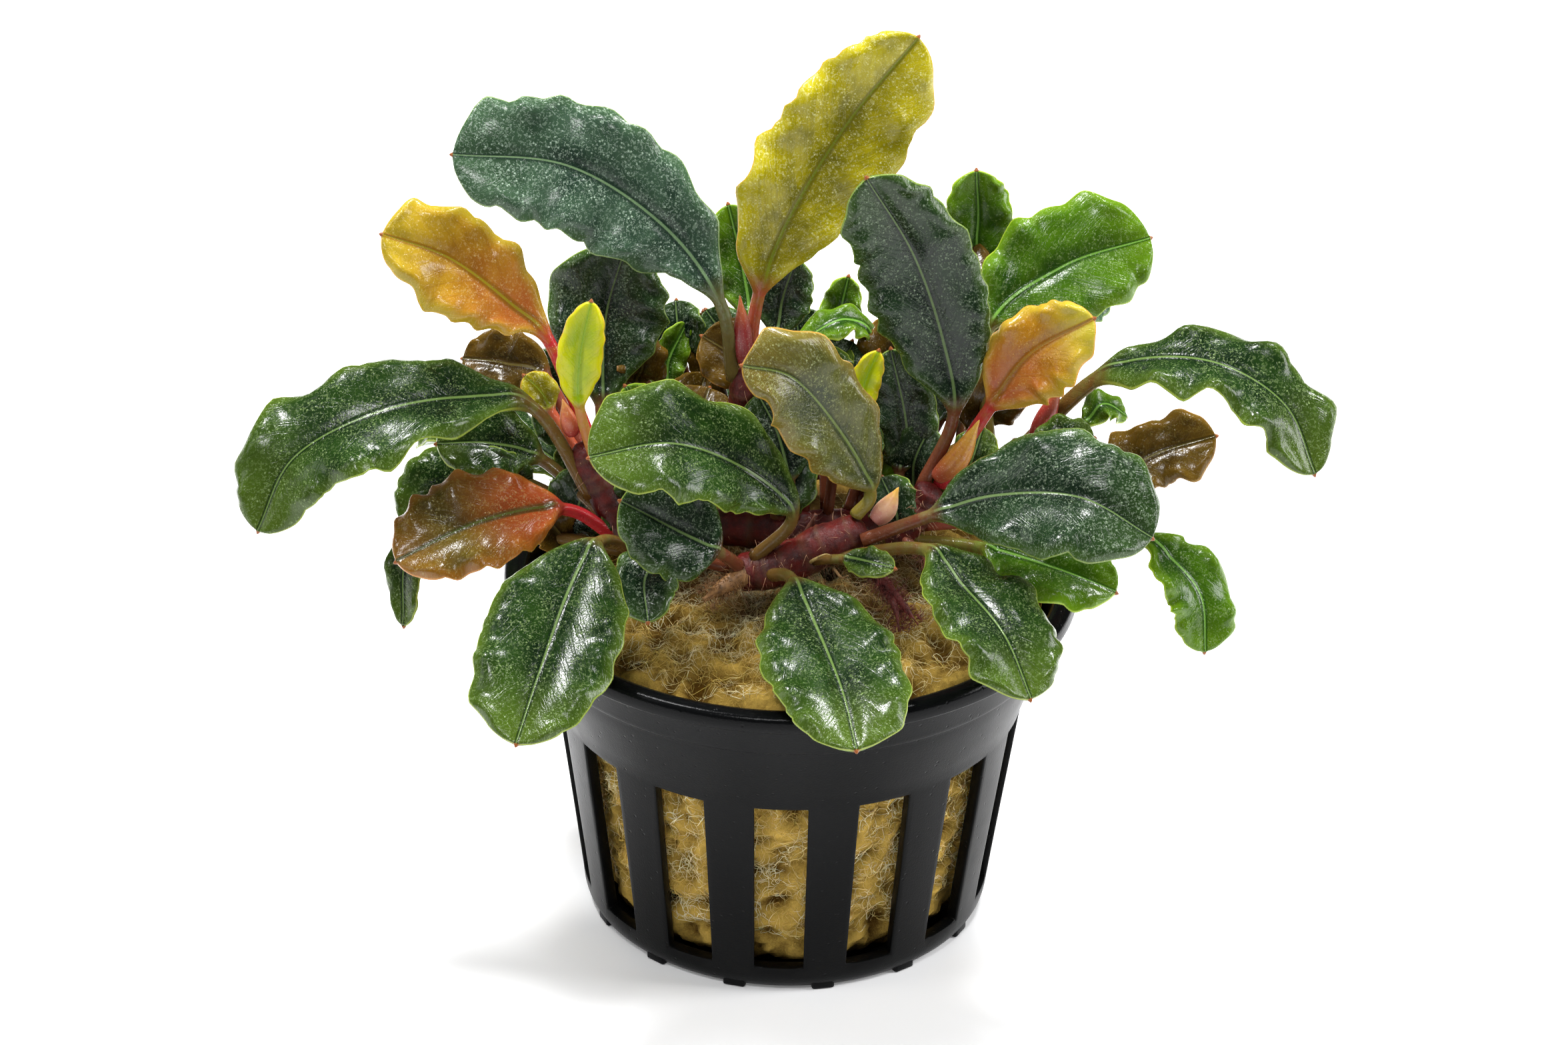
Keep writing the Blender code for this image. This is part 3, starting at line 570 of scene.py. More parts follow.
def makeLeaf(name, given, number, materials, loose=False):
    dice = random.Random(number * 17 + 5)
    spec = {**leafShape, **given}
    points = [leafRoot(spec), *map(Vector, spec["midrib"])]
    lengths = [(after - point).length for point, after in zip(points, points[1:])]
    bladeStart, bladeLength = lengths[0] / sum(lengths), sum(lengths[1:])
    face = Vector(spec["face"]).normalized()
    small = min(1, spec["width"] / 8)
    lobes = marginLobes(spec, dice, bladeLength)
    wander = dice.uniform(0, 6.28)
    stations = leafStations(spec, small)
    end = heading(points, 0.995)
    grid, place, share, edge = [], [], [], []
    for u, beyond in stations:
        blade, onBlade = max(u, 0), 0 if beyond else 1
        at = bladeStart * (1 + u) if u < 0 else bladeStart + (1 - bladeStart) * u
        centre = along(points, at)
        direction = heading(points, min(at, 0.995))
        up = (face - face.dot(direction) * direction).normalized()
        across = direction.cross(up)
        if beyond:
            centre = Vector(points[-1]) + end * beyond + up * (-0.25 * beyond * beyond)
        half = ringHalf(u, beyond, spec)
        broad = ease(blade, 0.0, 0.14) * onBlade
        ruffle = spec["ruffle"] * math.sin(math.pi * blade) * onBlade
        envelope = ease(blade, 0.05, 0.25) * (1 - ease(blade, 0.9, 1.0)) * small * onBlade
        arch = spec["arch"] * half * broad * (1 + 0.15 * math.sin(2.3 * blade * 3.14 + wander))
        ripple = blade * bladeLength / spec["ripple"]
        margins = []
        for which in (0, 1):
            lobe = envelope * lobeAt(blade, lobes[which])
            wavelet = envelope * rippleAt(blade, ripple, wander, which)
            push = spec["lobeOut"] * (lobe - 0.5 * envelope) + trimAt(blade, spec, which) * onBlade
            margins.append((lobe, wavelet, push + spec["rippleOut"] * wavelet))
        for above, v in [(1, v) for v in upperSide] + [(0, v) for v in lowerSide]:
            size, which = abs(v), 0 if v < 0 else 1
            lobe, wavelet, push = margins[which]
            x = v * half + math.copysign(push * size**2, v)
            height = spec["cup"] * half * size * broad + arch * math.sin(math.pi * size**0.8)
            height += ruffle * size**2 * math.sin(math.radians(360 * spec["waves"] * blade + 70 * v))
            height += spec["lobeUp"] * (lobe * near(size - 0.8, 0.17) - 0.35 * envelope * size**6)
            height += spec["rippleUp"] * wavelet * near(size - 0.84, 0.15)
            veins = (blade * bladeLength - 0.9 * abs(x) - 0.05 * x * x) / spec["veins"]
            quilt = abs(math.sin(math.pi * veins + which * 1.3)) - 0.6
            height += envelope * spec["quilting"] * quilt * math.sin(math.pi * min(1, size * 1.05))
            # the petiole is a round stalk, and the blade is thin and rounded at its margin
            rib = (spec["ribThickness"] - spec["thickness"]) * near(x, 0.55) * (1 - 0.75 * blade)
            thick = min((spec["thickness"] + rib) * math.sqrt(max(0, 1 - size**10)), 0.5 * half)
            tube = half * math.sqrt(max(0, 1 - v * v))
            thick = tube + (thick - tube) * broad
            if above:
                groove = spec["groove"] * near(abs(x) - 0.34, 0.2) - 0.06 * near(x, 0.14)
                height += thick - groove * (1 - 0.6 * blade) * broad
            else:
                height -= thick * (1 + 0.5 * broad * near(x, 0.5) * (1 - 0.7 * blade))
            grid.append(tuple(centre + across * x + up * height))
            place.append((x, blade * bladeLength if u >= 0 else u * lengths[0], number * 3.7))
            share.append((v, 1 + beyond if beyond else u, above if size < 1 else 0.5))
            edge.append((1 - size) * half)
    faces = skin(len(stations), len(upperSide) + len(lowerSide))
    material = materials[spec.get("look", spec["colour"])]
    node = None if loose else "leaf_" + name
    makePiece(name + " leaf", grid, faces, material, "leaf_" + spec["colour"], node,
              leafPlace=place, leafShare=share, leafEdge=edge)


# Colours of each kind of leaf, in the order of leafLook, how far the margin's colour fills the tip,
# how strong the flecks and their painted glints are and, where there is one, the colour of the blade's lower
# end

def leafLook(*colours, **more):
    names = ("dark", "light", "margin", "rim", "rib", "fleck", "under", "petiole")
    return dict(zip(names, colours), **more)


leafColours = {
    "green": leafLook(
        (0.0025, 0.010, 0.002), (0.009, 0.028, 0.003), (0.08, 0.13, 0.010), (0.34, 0.40, 0.06),
        (0.13, 0.21, 0.05), (0.24, 0.34, 0.12), (0.10, 0.16, 0.05), (0.12, 0.065, 0.015),
        tip=0.5, flecks=0.55),
    "teal": leafLook(
        (0.008, 0.020, 0.012), (0.028, 0.056, 0.032), (0.05, 0.10, 0.04), (0.28, 0.38, 0.14),
        (0.16, 0.26, 0.12), (0.38, 0.50, 0.38), (0.10, 0.14, 0.08), (0.10, 0.075, 0.018),
        tip=0.3, flecks=0.62),
    "dark": leafLook(
        (0.003, 0.009, 0.004), (0.009, 0.024, 0.008), (0.05, 0.10, 0.012), (0.24, 0.32, 0.06),
        (0.14, 0.22, 0.07), (0.28, 0.36, 0.24), (0.05, 0.08, 0.03), (0.14, 0.04, 0.018),
        tip=0.2, flecks=0.6),
    "bright": leafLook(
        (0.010, 0.038, 0.001), (0.040, 0.100, 0.002), (0.14, 0.26, 0.006), (0.36, 0.46, 0.04),
        (0.16, 0.34, 0.05), (0.34, 0.46, 0.16), (0.12, 0.20, 0.05), (0.13, 0.10, 0.018),
        tip=0.3, flecks=0.35),
    "olive": leafLook(
        (0.11, 0.10, 0.002), (0.33, 0.28, 0.004), (0.44, 0.38, 0.01), (0.52, 0.26, 0.03),
        (0.14, 0.19, 0.008), (0.78, 0.76, 0.36), (0.30, 0.30, 0.05), (0.36, 0.07, 0.03),
        tip=0.3, flecks=0.55),
    "lime": leafLook(
        (0.24, 0.34, 0.001), (0.50, 0.54, 0.001), (0.60, 0.50, 0.01), (0.66, 0.38, 0.04),
        (0.20, 0.34, 0.01), (0.66, 0.70, 0.10), (0.40, 0.44, 0.05), (0.42, 0.16, 0.04),
        tip=0.3, flecks=0.15),
    "amber": leafLook(
        (0.19, 0.080, 0.004), (0.36, 0.20, 0.010), (0.36, 0.34, 0.02), (0.56, 0.30, 0.04),
        (0.26, 0.24, 0.012), (0.78, 0.62, 0.24), (0.42, 0.22, 0.06), (0.42, 0.02, 0.025),
        tip=0.4, flecks=0.35, base=(0.40, 0.10, 0.02)),
    "orange": leafLook(
        (0.20, 0.07, 0.003), (0.36, 0.18, 0.006), (0.38, 0.35, 0.03), (0.58, 0.26, 0.04),
        (0.24, 0.14, 0.02), (0.70, 0.46, 0.14), (0.36, 0.12, 0.05), (0.38, 0.02, 0.025),
        tip=0.8, flecks=0.35, base=(0.34, 0.075, 0.02)),
    "russet": leafLook(
        (0.020, 0.017, 0.002), (0.064, 0.044, 0.004), (0.34, 0.12, 0.012), (0.50, 0.20, 0.04),
        (0.035, 0.055, 0.008), (0.42, 0.36, 0.14), (0.36, 0.12, 0.05), (0.34, 0.015, 0.02),
        tip=0.25, flecks=0.3, base=(0.22, 0.035, 0.008)),
    "bronze": leafLook(
        (0.022, 0.030, 0.008), (0.080, 0.082, 0.016), (0.20, 0.13, 0.02), (0.48, 0.26, 0.04),
        (0.16, 0.22, 0.05), (0.42, 0.46, 0.20), (0.26, 0.14, 0.06), (0.17, 0.13, 0.02),
        tip=0.4, flecks=0.5),
    "brown": leafLook(
        (0.020, 0.011, 0.001), (0.060, 0.032, 0.003), (0.15, 0.08, 0.008), (0.30, 0.15, 0.03),
        (0.10, 0.08, 0.02), (0.26, 0.20, 0.06), (0.20, 0.08, 0.04), (0.22, 0.05, 0.03),
        tip=0.2, flecks=0.3),
}
redPoint = (0.22, 0.07, 0.02)


def makeLeafMaterial(kind, look):
    material, tree, shader = startMaterial(kind + " leaf")
    x, y, leafNumber = axes(named(tree, "leafPlace"))
    v, u, top = axes(named(tree, "leafShare"))
    edge, side = named(tree, "leafEdge", "Fac"), abs(x)
    flat = joined(x, y, leafNumber)
    wobble, pebbles = grain(flat, 0.9, 3), grain(flat, 5.5, 2)

    # flecks are short squiggles and dots in the skin, partly its pale speckle and partly painted glints,
    # thicker in some patches than in others
    squiggles = rise(grain(flat, 4.6, 1, 0.5, 1.2), 0.52, 0.64)
    dots = rise(cells(flat, 2.4), 0.24, 0.12)
    patches = rise(grain(flat, 0.5, 3), 0.3, 0.65)
    flecks = (squiggles * 0.45).through("MAXIMUM", dots) * (patches * 0.65 + 0.35)

    # side veins leave the midrib aslant and bend towards the tip
    drift = y - side * 1.1 - side * side * 0.09 + wobble * 0.9
    veins = rise(abs(grain(joined(drift * 1.05, leafNumber * 0.37, 0.0), 1.0, 1) - 0.5), 0.05, 0.0)

    tone = grain(flat, 0.32, 4) + wobble * 0.3 + rise(side, 0.3, 3.0) * 0.16
    blade = blend(rise(tone, 0.46, 0.92), look["dark"], look["light"])
    blade = blend(veins * 0.3, blade, look["dark"])
    if "base" in look:
        blade = blend(rise(u, 0.72, 0.05) * 0.9, blade, look["base"])
    towardsEdge, towardsTip = rise(edge, 1.2, 0.0) * 0.5, rise(u, 0.62, 1.0) * look["tip"]
    blade = blend(towardsEdge.through("MAXIMUM", towardsTip), blade, look["margin"])
    # pale flecks, partly the skin's own speckle and partly painted glints
    blade = blend(flecks * look["flecks"], blade, look["fleck"])
    # the midrib is a pale line between two dark ones, painted shade of the grooves beside it, and it fades
    # towards the tip
    offRib = side / (u * -0.20 + 0.32)
    blade = blend(rise(offRib, 2.0, 0.9) * 0.8, blade, look["dark"])
    blade = blend(rise(offRib, 0.62, 0.22) * 0.65, blade, look["rib"])
    blade = blend(rise(edge, 0.12, 0.03) * 0.65, blade, look["rim"])
    below = blend(rise(offRib, 1.4, 0.7) * 0.5, look["under"], look["rib"])
    below = blend(veins * 0.3, below, look["dark"])
    stalk = blend(rise(wobble, 0.35, 0.7) * 0.35, look["petiole"], look["rib"])
    stalk = blend(rise(u, -0.7, 0.05), look["petiole"], stalk)
    whole = blend(rise(u, 0.0, 0.10), stalk, blend(top, below, blade))
    whole = blend(rise(u, 0.997, 1.06), whole, redPoint)

    relief(shader, flecks * 0.5 + pebbles * 0.35 - veins * 0.2, 0.042)
    setLook(shader, Base_Color=whole, Roughness=pebbles * 0.14 - flecks * 0.08 - top * 0.12 + 0.22,
            Specular_IOR_Level=0.28, Subsurface_Weight=0.12, Subsurface_Radius=(0.5, 1.0, 0.2),
            Subsurface_Scale=0.4 * mm)
    return material


# Small old leaves that fill the dark middle of the plant

undergrowth = {
    "count": 42,
    "left": -20,
    "right": 18,
    "front": -3,
    "back": 13,
    "frontTop": 42,    # how high they reach at the front and at the back
    "backTop": 55,
    "length": (5.5, 9),
    "width": (3.6, 6.4),
    "colours": ("dark", "dark", "brown", "dark", "green", "brown", "bright", "dark"),
}


def nearestFork(spot):
    places = [(name, step / 20) for name in rhizomeForks for step in range(1, 20)]
    return min(places, key=lambda found: (along(rhizomeForks[found[0]]["points"], found[1]) - spot).length)


def makeUndergrowth(look, materials):
    dice = random.Random(31)
    for number in range(look["count"]):
        depth = (number + dice.random()) / look["count"]
        x = dice.uniform(look["left"], look["right"]) * (1.18 - 0.3 * depth)
        y = look["front"] + depth * (look["back"] - look["front"])
        top = look["frontTop"] + depth * (look["backTop"] - look["frontTop"]) + dice.uniform(-3, 1)
        start = Vector((x, y, top - dice.uniform(*look["length"]) * dice.uniform(0.6, 0.9)))
        lean = Vector((dice.uniform(-3.5, 3.5) + 0.12 * x, dice.uniform(-1.5, 3), top - start.z))
        middle = start + 0.5 * lean + Vector((dice.uniform(-0.6, 0.6), -0.8, 0.4))
        stem, at = nearestFork(Vector((x * 0.8, y * 0.8, 37)))
        given = leaf(
            stem, at, dice.uniform(*look["width"]), (dice.uniform(-4, 4), -7, dice.uniform(1, 7)),
            (start, middle, start + lean), dice.choice(look["colours"]),
            petiole=0.45, bladeRows=26, petioleRows=6)
        makeLeaf("inner_" + str(number + 1), given, 60 + number, materials, loose=True)
    print("small leaves in the middle:", look["count"])


def makeLeaves():
    materials = {kind: makeLeafMaterial(kind, look) for kind, look in leafColours.items()}
    for number, (name, given) in enumerate(leafTable.items()):
        makeLeaf(name, given, number, materials)
    print("leaves:", len(leafTable))
    makeUndergrowth(undergrowth, materials)


# The net pot

potShape = {
    "slots": 14,
    "turn": -1.3,             # degrees that the front slot stands to the left
    "slotBottom": 2.6,
    "slotTop": 20.2,
    "slotBottomWidth": 4.2,
    "slotTopWidth": 4.6,
    "acrossSlot": 4,
    "acrossBar": 8,
    "slotRounding": 0.16,
    "footSize": (1.3, 2.0, 1.2),
    "footRadius": 16.75,
    "footRounding": 0.25,
    "colour": (0.0022, 0.0024, 0.0026),
    "worn": (0.011, 0.011, 0.012),
}

# Radius and height from the middle of the underside, up the outside, over the lip and down inside
potOutside = (
    (9.0, 0.0), (15.9, 0.0), (16.5, 0.06), (17.0, 0.28), (17.35, 0.62), (17.58, 1.05), (17.72, 1.6),
    (17.84, 2.6), (18.4, 6.8), (18.98, 11.0), (19.56, 15.2), (20.25, 20.2), (20.34, 20.7), (20.75, 21.9),
    (21.3, 23.5), (21.95, 25.4), (22.42, 26.8), (22.5, 27.15), (22.56, 27.25), (22.84, 27.4),
    (22.92, 27.52), (23.0, 27.8), (23.4, 29.0), (23.8, 30.15), (23.86, 30.3), (24.35, 30.42),
    (24.62, 30.52), (24.7, 30.68), (24.7, 31.0), (24.68, 31.5), (24.55, 31.8), (24.25, 31.97),
)
potInside = (
    (23.6, 32.0), (23.2, 31.93), (22.9, 31.7), (22.72, 31.4), (22.4, 30.4), (21.6, 27.8), (21.4, 27.1),
    (20.9, 25.6), (20.1, 23.3), (19.2, 20.7), (19.05, 20.2), (18.45, 15.2), (17.87, 11.0), (17.29, 6.8),
    (16.7, 2.6), (16.55, 2.0), (16.2, 1.45), (15.6, 1.2), (9.0, 1.2),
)


def makePotMaterial(look):
    material, tree, shader = startMaterial("black pot plastic")
    spot = objectPlace(tree)
    wear = grain(spot, 0.35, 5, 0.6)
    dust = rise(grain(spot, 2.2, 4, 0.7), 0.60, 0.78) * rise(wear, 0.45, 0.65)
    lip = rise(axes(spot)[2], 31.2, 31.6)
    pits = rise(cells(spot, 0.9), 0.16, 0.04)
    relief(shader, grain(spot, 6.0, 3, 0.6) - pits * 1.6, 0.03, 0.6)
    setLook(shader, Base_Color=blend(dust * 0.45, look["colour"], look["worn"]), Specular_IOR_Level=0.09,
            Roughness=wear * 0.16 + dust * 0.12 - lip * 0.16 + 0.24)
    return material


def potAngles(shape, radius, height):
    # the slots' edges lie on the grid, so their angles follow the height
    lift = (height - shape["slotBottom"]) / (shape["slotTop"] - shape["slotBottom"])
    widening = shape["slotTopWidth"] - shape["slotBottomWidth"]
    wide = shape["slotBottomWidth"] + min(1, max(0, lift)) * widening
    half = math.asin(wide / 2 / max(radius, 12.0))
    gap = 2 * math.pi / shape["slots"] - 2 * half
    angles = []
    for index in range(shape["slots"]):
        middle = math.radians(shape["turn"] + index * 360 / shape["slots"])
        for i in range(shape["acrossSlot"]):
            angles.append(middle - half + 2 * half * i / shape["acrossSlot"])
        for i in range(shape["acrossBar"]):
            angles.append(middle + half + gap * i / shape["acrossBar"])
    return angles


def addPotWall(bm, shape):
    across, perSector = shape["acrossSlot"], shape["acrossSlot"] + shape["acrossBar"]
    profile = [*potOutside, *potInside]
    rows = [
        [bm.verts.new((r * math.sin(a), -r * math.cos(a), height)) for a in potAngles(shape, r, height)]
        for r, height in profile
    ]
    around = len(rows[0])

    def beside(height):
        return shape["slotBottom"] - 0.01 <= height <= shape["slotTop"] + 0.01

    for (below, above), (lower, upper) in zip(zip(profile, profile[1:]), zip(rows, rows[1:])):
        for k in range(around):
            j = (k + 1) % around
            if not (k % perSector < across and beside(below[1]) and beside(above[1])):
                bm.faces.new((lower[k], lower[j], upper[j], upper[k]))
    bm.faces.new(rows[0][::-1])
    bm.faces.new(rows[-1])

    # the walls of each slot
    outer, inner = (
        {height: row for (radius, height), row in zip(side, sideRows)}
        for side, sideRows in ((potOutside, rows), (potInside, rows[len(potOutside):]))
    )
    levels = [height for radius, height in potOutside if beside(height)]
    for left in range(0, around, perSector):
        for bottom, top in zip(levels, levels[1:]):
            for column in (left, left + across):
                bm.faces.new([row[column] for row in (outer[bottom], outer[top], inner[top], inner[bottom])])
        for level in (levels[0], levels[-1]):
            for k in range(left, left + across):
                bm.faces.new((outer[level][k], outer[level][k + 1], inner[level][k + 1], inner[level][k]))


def roundEdges(bm, edges, offset, segments):
    return bmesh.ops.bevel(bm, geom=edges, offset=offset, segments=segments, profile=0.5, affect="EDGES",
                           clamp_overlap=True)


def addFoot(bm, shape, angle):
    size = shape["footSize"]
    corners = bmesh.ops.create_cube(bm, size=1)["verts"]
    for v in corners:
        v.co = Vector([length * part for length, part in zip(size, v.co)])
    edges = list({e for v in corners for e in v.link_edges})
    ends = {v for f in roundEdges(bm, edges, shape["footRounding"], 3)["faces"] for v in f.verts}
    for v in ends | {w for v in ends for e in v.link_edges for w in e.verts}:
        r, s = shape["footRadius"] + v.co.x, v.co.y
        x, y = r * math.sin(angle) + s * math.cos(angle), -r * math.cos(angle) + s * math.sin(angle)
        v.co = Vector((x, y, v.co.z + size[2] / 2))


def makePot(shape):
    bm = bmesh.new()
    addPotWall(bm, shape)
    bmesh.ops.recalc_face_normals(bm, faces=bm.faces)
    low, high = shape["slotBottom"] - 0.1, shape["slotTop"] + 0.1
    folds = [e for e in bm.edges if len(e.link_faces) == 2 and e.calc_face_angle(0) > math.radians(60)]
    slotEdges = [e for e in folds if all(low < v.co.z < high for v in e.verts)]
    roundEdges(bm, slotEdges, shape["slotRounding"], 2)
    for index in range(shape["slots"]):
        addFoot(bm, shape, math.radians(shape["turn"] + (index + 0.5) * 360 / shape["slots"]))
    bmesh.ops.scale(bm, vec=(mm, mm, mm), verts=bm.verts)
    mesh = bpy.data.meshes.new("netPot")
    bm.to_mesh(mesh)
    bm.free()
    mesh.shade_smooth()
    mesh.set_sharp_from_angle(angle=math.radians(50))
    addPiece("netPot", mesh, makePotMaterial(shape), "net_pot")
    print("pot faces:", len(mesh.polygons))


# The mineral wool

woolShape = {
    "outline": ((0, 1.6), (8, 1.6), (15.2, 1.65), (16.1, 2.6), (17.35, 11.5), (18.6, 20.4), (20.9, 27.2),
                (21.7, 30.2), (20.0, 31.7), (15.0, 32.5), (9.0, 32.8), (4.0, 32.9), (0, 32.9)),
    "around": 150,
    "rows": 110,
    "sideLump": 1.1,
    "topLump": 1.5,
    "topFrom": 30.2,                  # height where the top begins
    "topThreads": dict(count=3900, seed=11, shares=(0.69, 0.97), size=(0.012, 0.026), lift=0.7),
    "sideThreads": dict(count=4400, seed=12, shares=(0.28, 0.62), size=(0.016, 0.04), lift=0.3),
    "threadLength": (1.2, 3.6),
    "threadSteps": 6,
    "dark": (0.085, 0.040, 0.004),
    "light": (0.72, 0.47, 0.10),
    "thread": (0.98, 0.88, 0.56),
    # the colour of the painted shade under the plants
    "stained": (0.050, 0.022, 0.006),
    "stainBehind": 2,                 # how far behind the pot's middle the painted shade is centred
}


def paintedShadeUnderPlants(spot, look):
    # painted shade: the plug is coloured darker and browner under the rhizomes and leaves, where they shade
    # it
    x, y, z = axes(spot)
    y = y - look["stainBehind"]
    away = (x * x + y * y).through("SQRT") + grain(spot, 0.3, 3) * 5.0
    return rise(away, 18.0, 13.0) * rise(z, 29.0, 31.0)


def makeWoolMaterials(look):
    body, tree, shader = startMaterial("mineral wool")
    spot = objectPlace(tree)
    hairs = grain(spot, 2.4, 5, 0.75, 2.5)
    # painted shade and light: the wool is darker in the hollows between its lumps and lighter on them, and
    # its sides in the slots are painted lighter than the top
    tone = named(tree, "woolHeight", "Fac") * 0.55 + hairs * 0.5 + grain(spot, 0.5, 6, 0.7, 1.5) * 0.35
    colour = blend(rise(tone, 0.45, 1.0), look["dark"], look["light"])
    # painted shade under the rhizomes and leaves
    colour = blend(paintedShadeUnderPlants(spot, look) * 0.85, colour, look["stained"])
    relief(shader, hairs, 0.25)
    setLook(shader, Base_Color=colour, Roughness=0.95, Specular_IOR_Level=0.1)

    threads, tree, shader = startMaterial("wool threads")
    spot = objectPlace(tree)
    colour = blend(rise(grain(spot, 0.4, 4), 0.35, 0.7), look["light"], look["thread"])
    # painted shade under the rhizomes and leaves on the threads too
    colour = blend(paintedShadeUnderPlants(spot, look) * 0.7, colour, look["stained"])
    setLook(shader, Base_Color=colour, Roughness=0.6, Subsurface_Weight=0.2, Subsurface_Scale=0.5 * mm)
    return body, threads


def woolSurface(look, share, angle):
    # a point of the lumpy plug, from the middle of its underside to the middle of its top, and its lump
    outline = look["outline"]
    i, t = stretchAt([math.dist(a, b) for a, b in zip(outline, outline[1:])], share)
    radius, height = (a + t * (b - a) for a, b in zip(outline[i], outline[i + 1]))
    x, y = radius * math.sin(angle), -radius * math.cos(angle)
    here = Vector((x, y, height))
    if height > look["topFrom"] or radius < 14 and height > 20:
        lump = noise.fractal(here * 0.34 + Vector((3, 7, 1)), 1.0, 2.0, 4)
        fold = 1 - abs(noise.noise(here * 0.45 + Vector((9, 2, 5)))) * 2.2
        raised = 0.5 * lump + 0.45 * fold - 0.55
        here.z += look["topLump"] * min(0.25, raised)
        return here, raised
    folded = Vector((x * 0.42, y * 0.42, height * 0.5))
    fold = 1 - abs(noise.noise(folded + Vector((2, 6, 3)))) * 2.8
    lump = noise.fractal(here * 0.55 + Vector((1, 4, 8)), 1.0, 2.0, 4)
    raised = 0.45 * fold + 0.45 * lump - 0.5
    scale = (radius + look["sideLump"] * min(0.1, raised)) / max(radius, 0.01)
    return Vector((x * scale, y * scale, height)), raised


def woolThread(dice, look, kind, onTop):
    angle = dice.gauss(0, 1.1) if onTop else dice.uniform(-1.7, 1.7)
    low, high = kind["shares"]
    share = dice.uniform(low, high)
    bend, turn = dice.uniform(-1.2, 1.2), dice.uniform(0, 6.28)
    size, length = dice.uniform(*kind["size"]), dice.uniform(*look["threadLength"])
    lift = dice.uniform(0, kind["lift"])
    steps = look["threadSteps"]
    path = []
    for i in range(steps):
        t = i / (steps - 1)
        point, raised = woolSurface(look, share, angle)
        radius = max(4, math.hypot(point.x, point.y))
        outward = Vector((0, 0, 1)) if onTop else Vector((point.x, point.y, 0)).normalized()
        spot = point + outward * (0.05 + lift * math.sin(math.pi * t) ** 1.5)
        path.append((spot, size * (1 - 0.7 * abs(2 * t - 1) ** 3)))
        turn += bend + dice.uniform(-0.25, 0.25)
        angle += length / steps * math.cos(turn) / radius
        share = min(high, max(low, share + length / steps * math.sin(turn) / 62))
    return path


def makeWool(look):
    body, threadFinish = makeWoolMaterials(look)
    points, paintedShading = [], []
    for row in range(look["rows"]):
        share = 0.002 + 0.996 * row / (look["rows"] - 1)
        for column in range(look["around"]):
            point, raised = woolSurface(look, share, 2 * math.pi * column / look["around"])
            points.append(tuple(point))
            # painted shade and light: hollows darker, lumps lighter, and the sides in the slots start
            # lighter than the top against their shade
            low = 0.75 if point.z > look["topFrom"] else 0.95
            paintedShading.append(max(0, min(1, low + 0.9 * raised)))
    faces = skin(look["rows"], look["around"])
    makePiece("mineral wool", points, faces, body, "mineral_wool", "mineral_wool", woolHeight=paintedShading)
    for name, kind in (("on top", look["topThreads"]), ("in the slots", look["sideThreads"])):
        dice = random.Random(kind["seed"])
        paths = [woolThread(dice, look, kind, name == "on top") for _ in range(kind["count"])]
        addThreads("wool threads " + name, paths, threadFinish, "mineral_wool")
    print("wool threads:", look["topThreads"]["count"] + look["sideThreads"]["count"])


# Rhizomes, sheaths and roots

rhizomeLook = {
    "sides": 20,
    "rows": 46,
    "scars": 7,
    "dark": (0.022, 0.003, 0.003),
    "light": (0.11, 0.008, 0.006),
    "scar": (0.10, 0.042, 0.018),
    "fibre": (0.34, 0.10, 0.07),
}

sheaths = {   # with the colours of their base, middle and tip
    "pink": limb(1.0, (6.9, -6.4, 40.6), (7.9, -6.1, 41.6), (8.9, -5.9, 43.6),
        colours=((0.50, 0.19, 0.15), (0.60, 0.34, 0.20), (0.66, 0.38, 0.06))),
    "red": limb(0.9, (-4.3, 2.0, 51.0), (-4.5, 1.9, 54.0), (-4.8, 2.0, 57.4),
        colours=((0.16, 0.012, 0.014), (0.24, 0.02, 0.02), (0.55, 0.16, 0.05))),
    "orange": limb(1.1, (12.2, -2.0, 42.4), (14.0, -2.2, 44.6), (15.6, -2.6, 48.4),
        colours=((0.28, 0.05, 0.02), (0.44, 0.18, 0.02), (0.52, 0.30, 0.03))),
    "left": limb(0.8, (-18.7, -2.2, 46.0), (-19.1, -2.2, 47.6), (-19.6, -2.2, 49.4),
        colours=((0.34, 0.04, 0.03), (0.46, 0.11, 0.04), (0.52, 0.24, 0.06))),
    "far_right": limb(0.9, (20.5, 2.2, 44.3), (21.6, 2.0, 46.8), (22.6, 1.8, 49.6),
        colours=((0.22, 0.02, 0.02), (0.34, 0.04, 0.03), (0.50, 0.14, 0.05))),
}
sheathSpecks = (0.72, 0.55, 0.40)


def makeRhizomeMaterial(look):
    material, tree, shader = startMaterial("rhizome skin")
    spot = objectPlace(tree)
    fibres = grain(spot, 4.0, 4, 0.7, 1.0)
    colour = blend(rise(grain(spot, 0.6, 5, 0.65), 0.3, 0.7), look["dark"], look["light"])
    colour = blend(named(tree, "ring", "Fac") * 0.5, colour, look["scar"])
    colour = blend(rise(fibres, 0.55, 0.75) * 0.25, colour, look["fibre"])
    relief(shader, fibres, 0.08, 0.9)
    setLook(shader, Base_Color=colour, Roughness=0.28, Specular_IOR_Level=0.35)
    return material


def makeRhizome(name, points, radius, look, finish, number):
    dice = random.Random(number + 40)
    scars = [dice.uniform(0.06, 0.97) for _ in range(look["scars"])]
    grid, rings = [], []
    for i in range(look["rows"]):
        share = i / (look["rows"] - 1)
        ends = min(1, 9 * share + 0.35) * min(1, math.sqrt((1 - share) * 14 + 0.12))
        size = radius * (0.78 + 0.44 * math.sqrt(share * (1 - share))) * ends
        scar = max(near(share - place, 0.013) for place in scars)
        centre = along(points, share)
        for point, angle in ringPoints(centre, heading(points, share), 1, look["sides"]):
            rough = noise.fractal(point * 0.8 + Vector((number, 0, 0)), 1.0, 2.0, 4)
            grid.append(tuple(centre + (point - centre) * size * (1 + 0.07 * scar + 0.10 * rough)))
            rings.append(scar)
    faces = skin(look["rows"], look["sides"])
    makePiece("rhizome " + name, grid, faces, finish, "rhizome_skin", "rhizome_" + name, ring=rings)


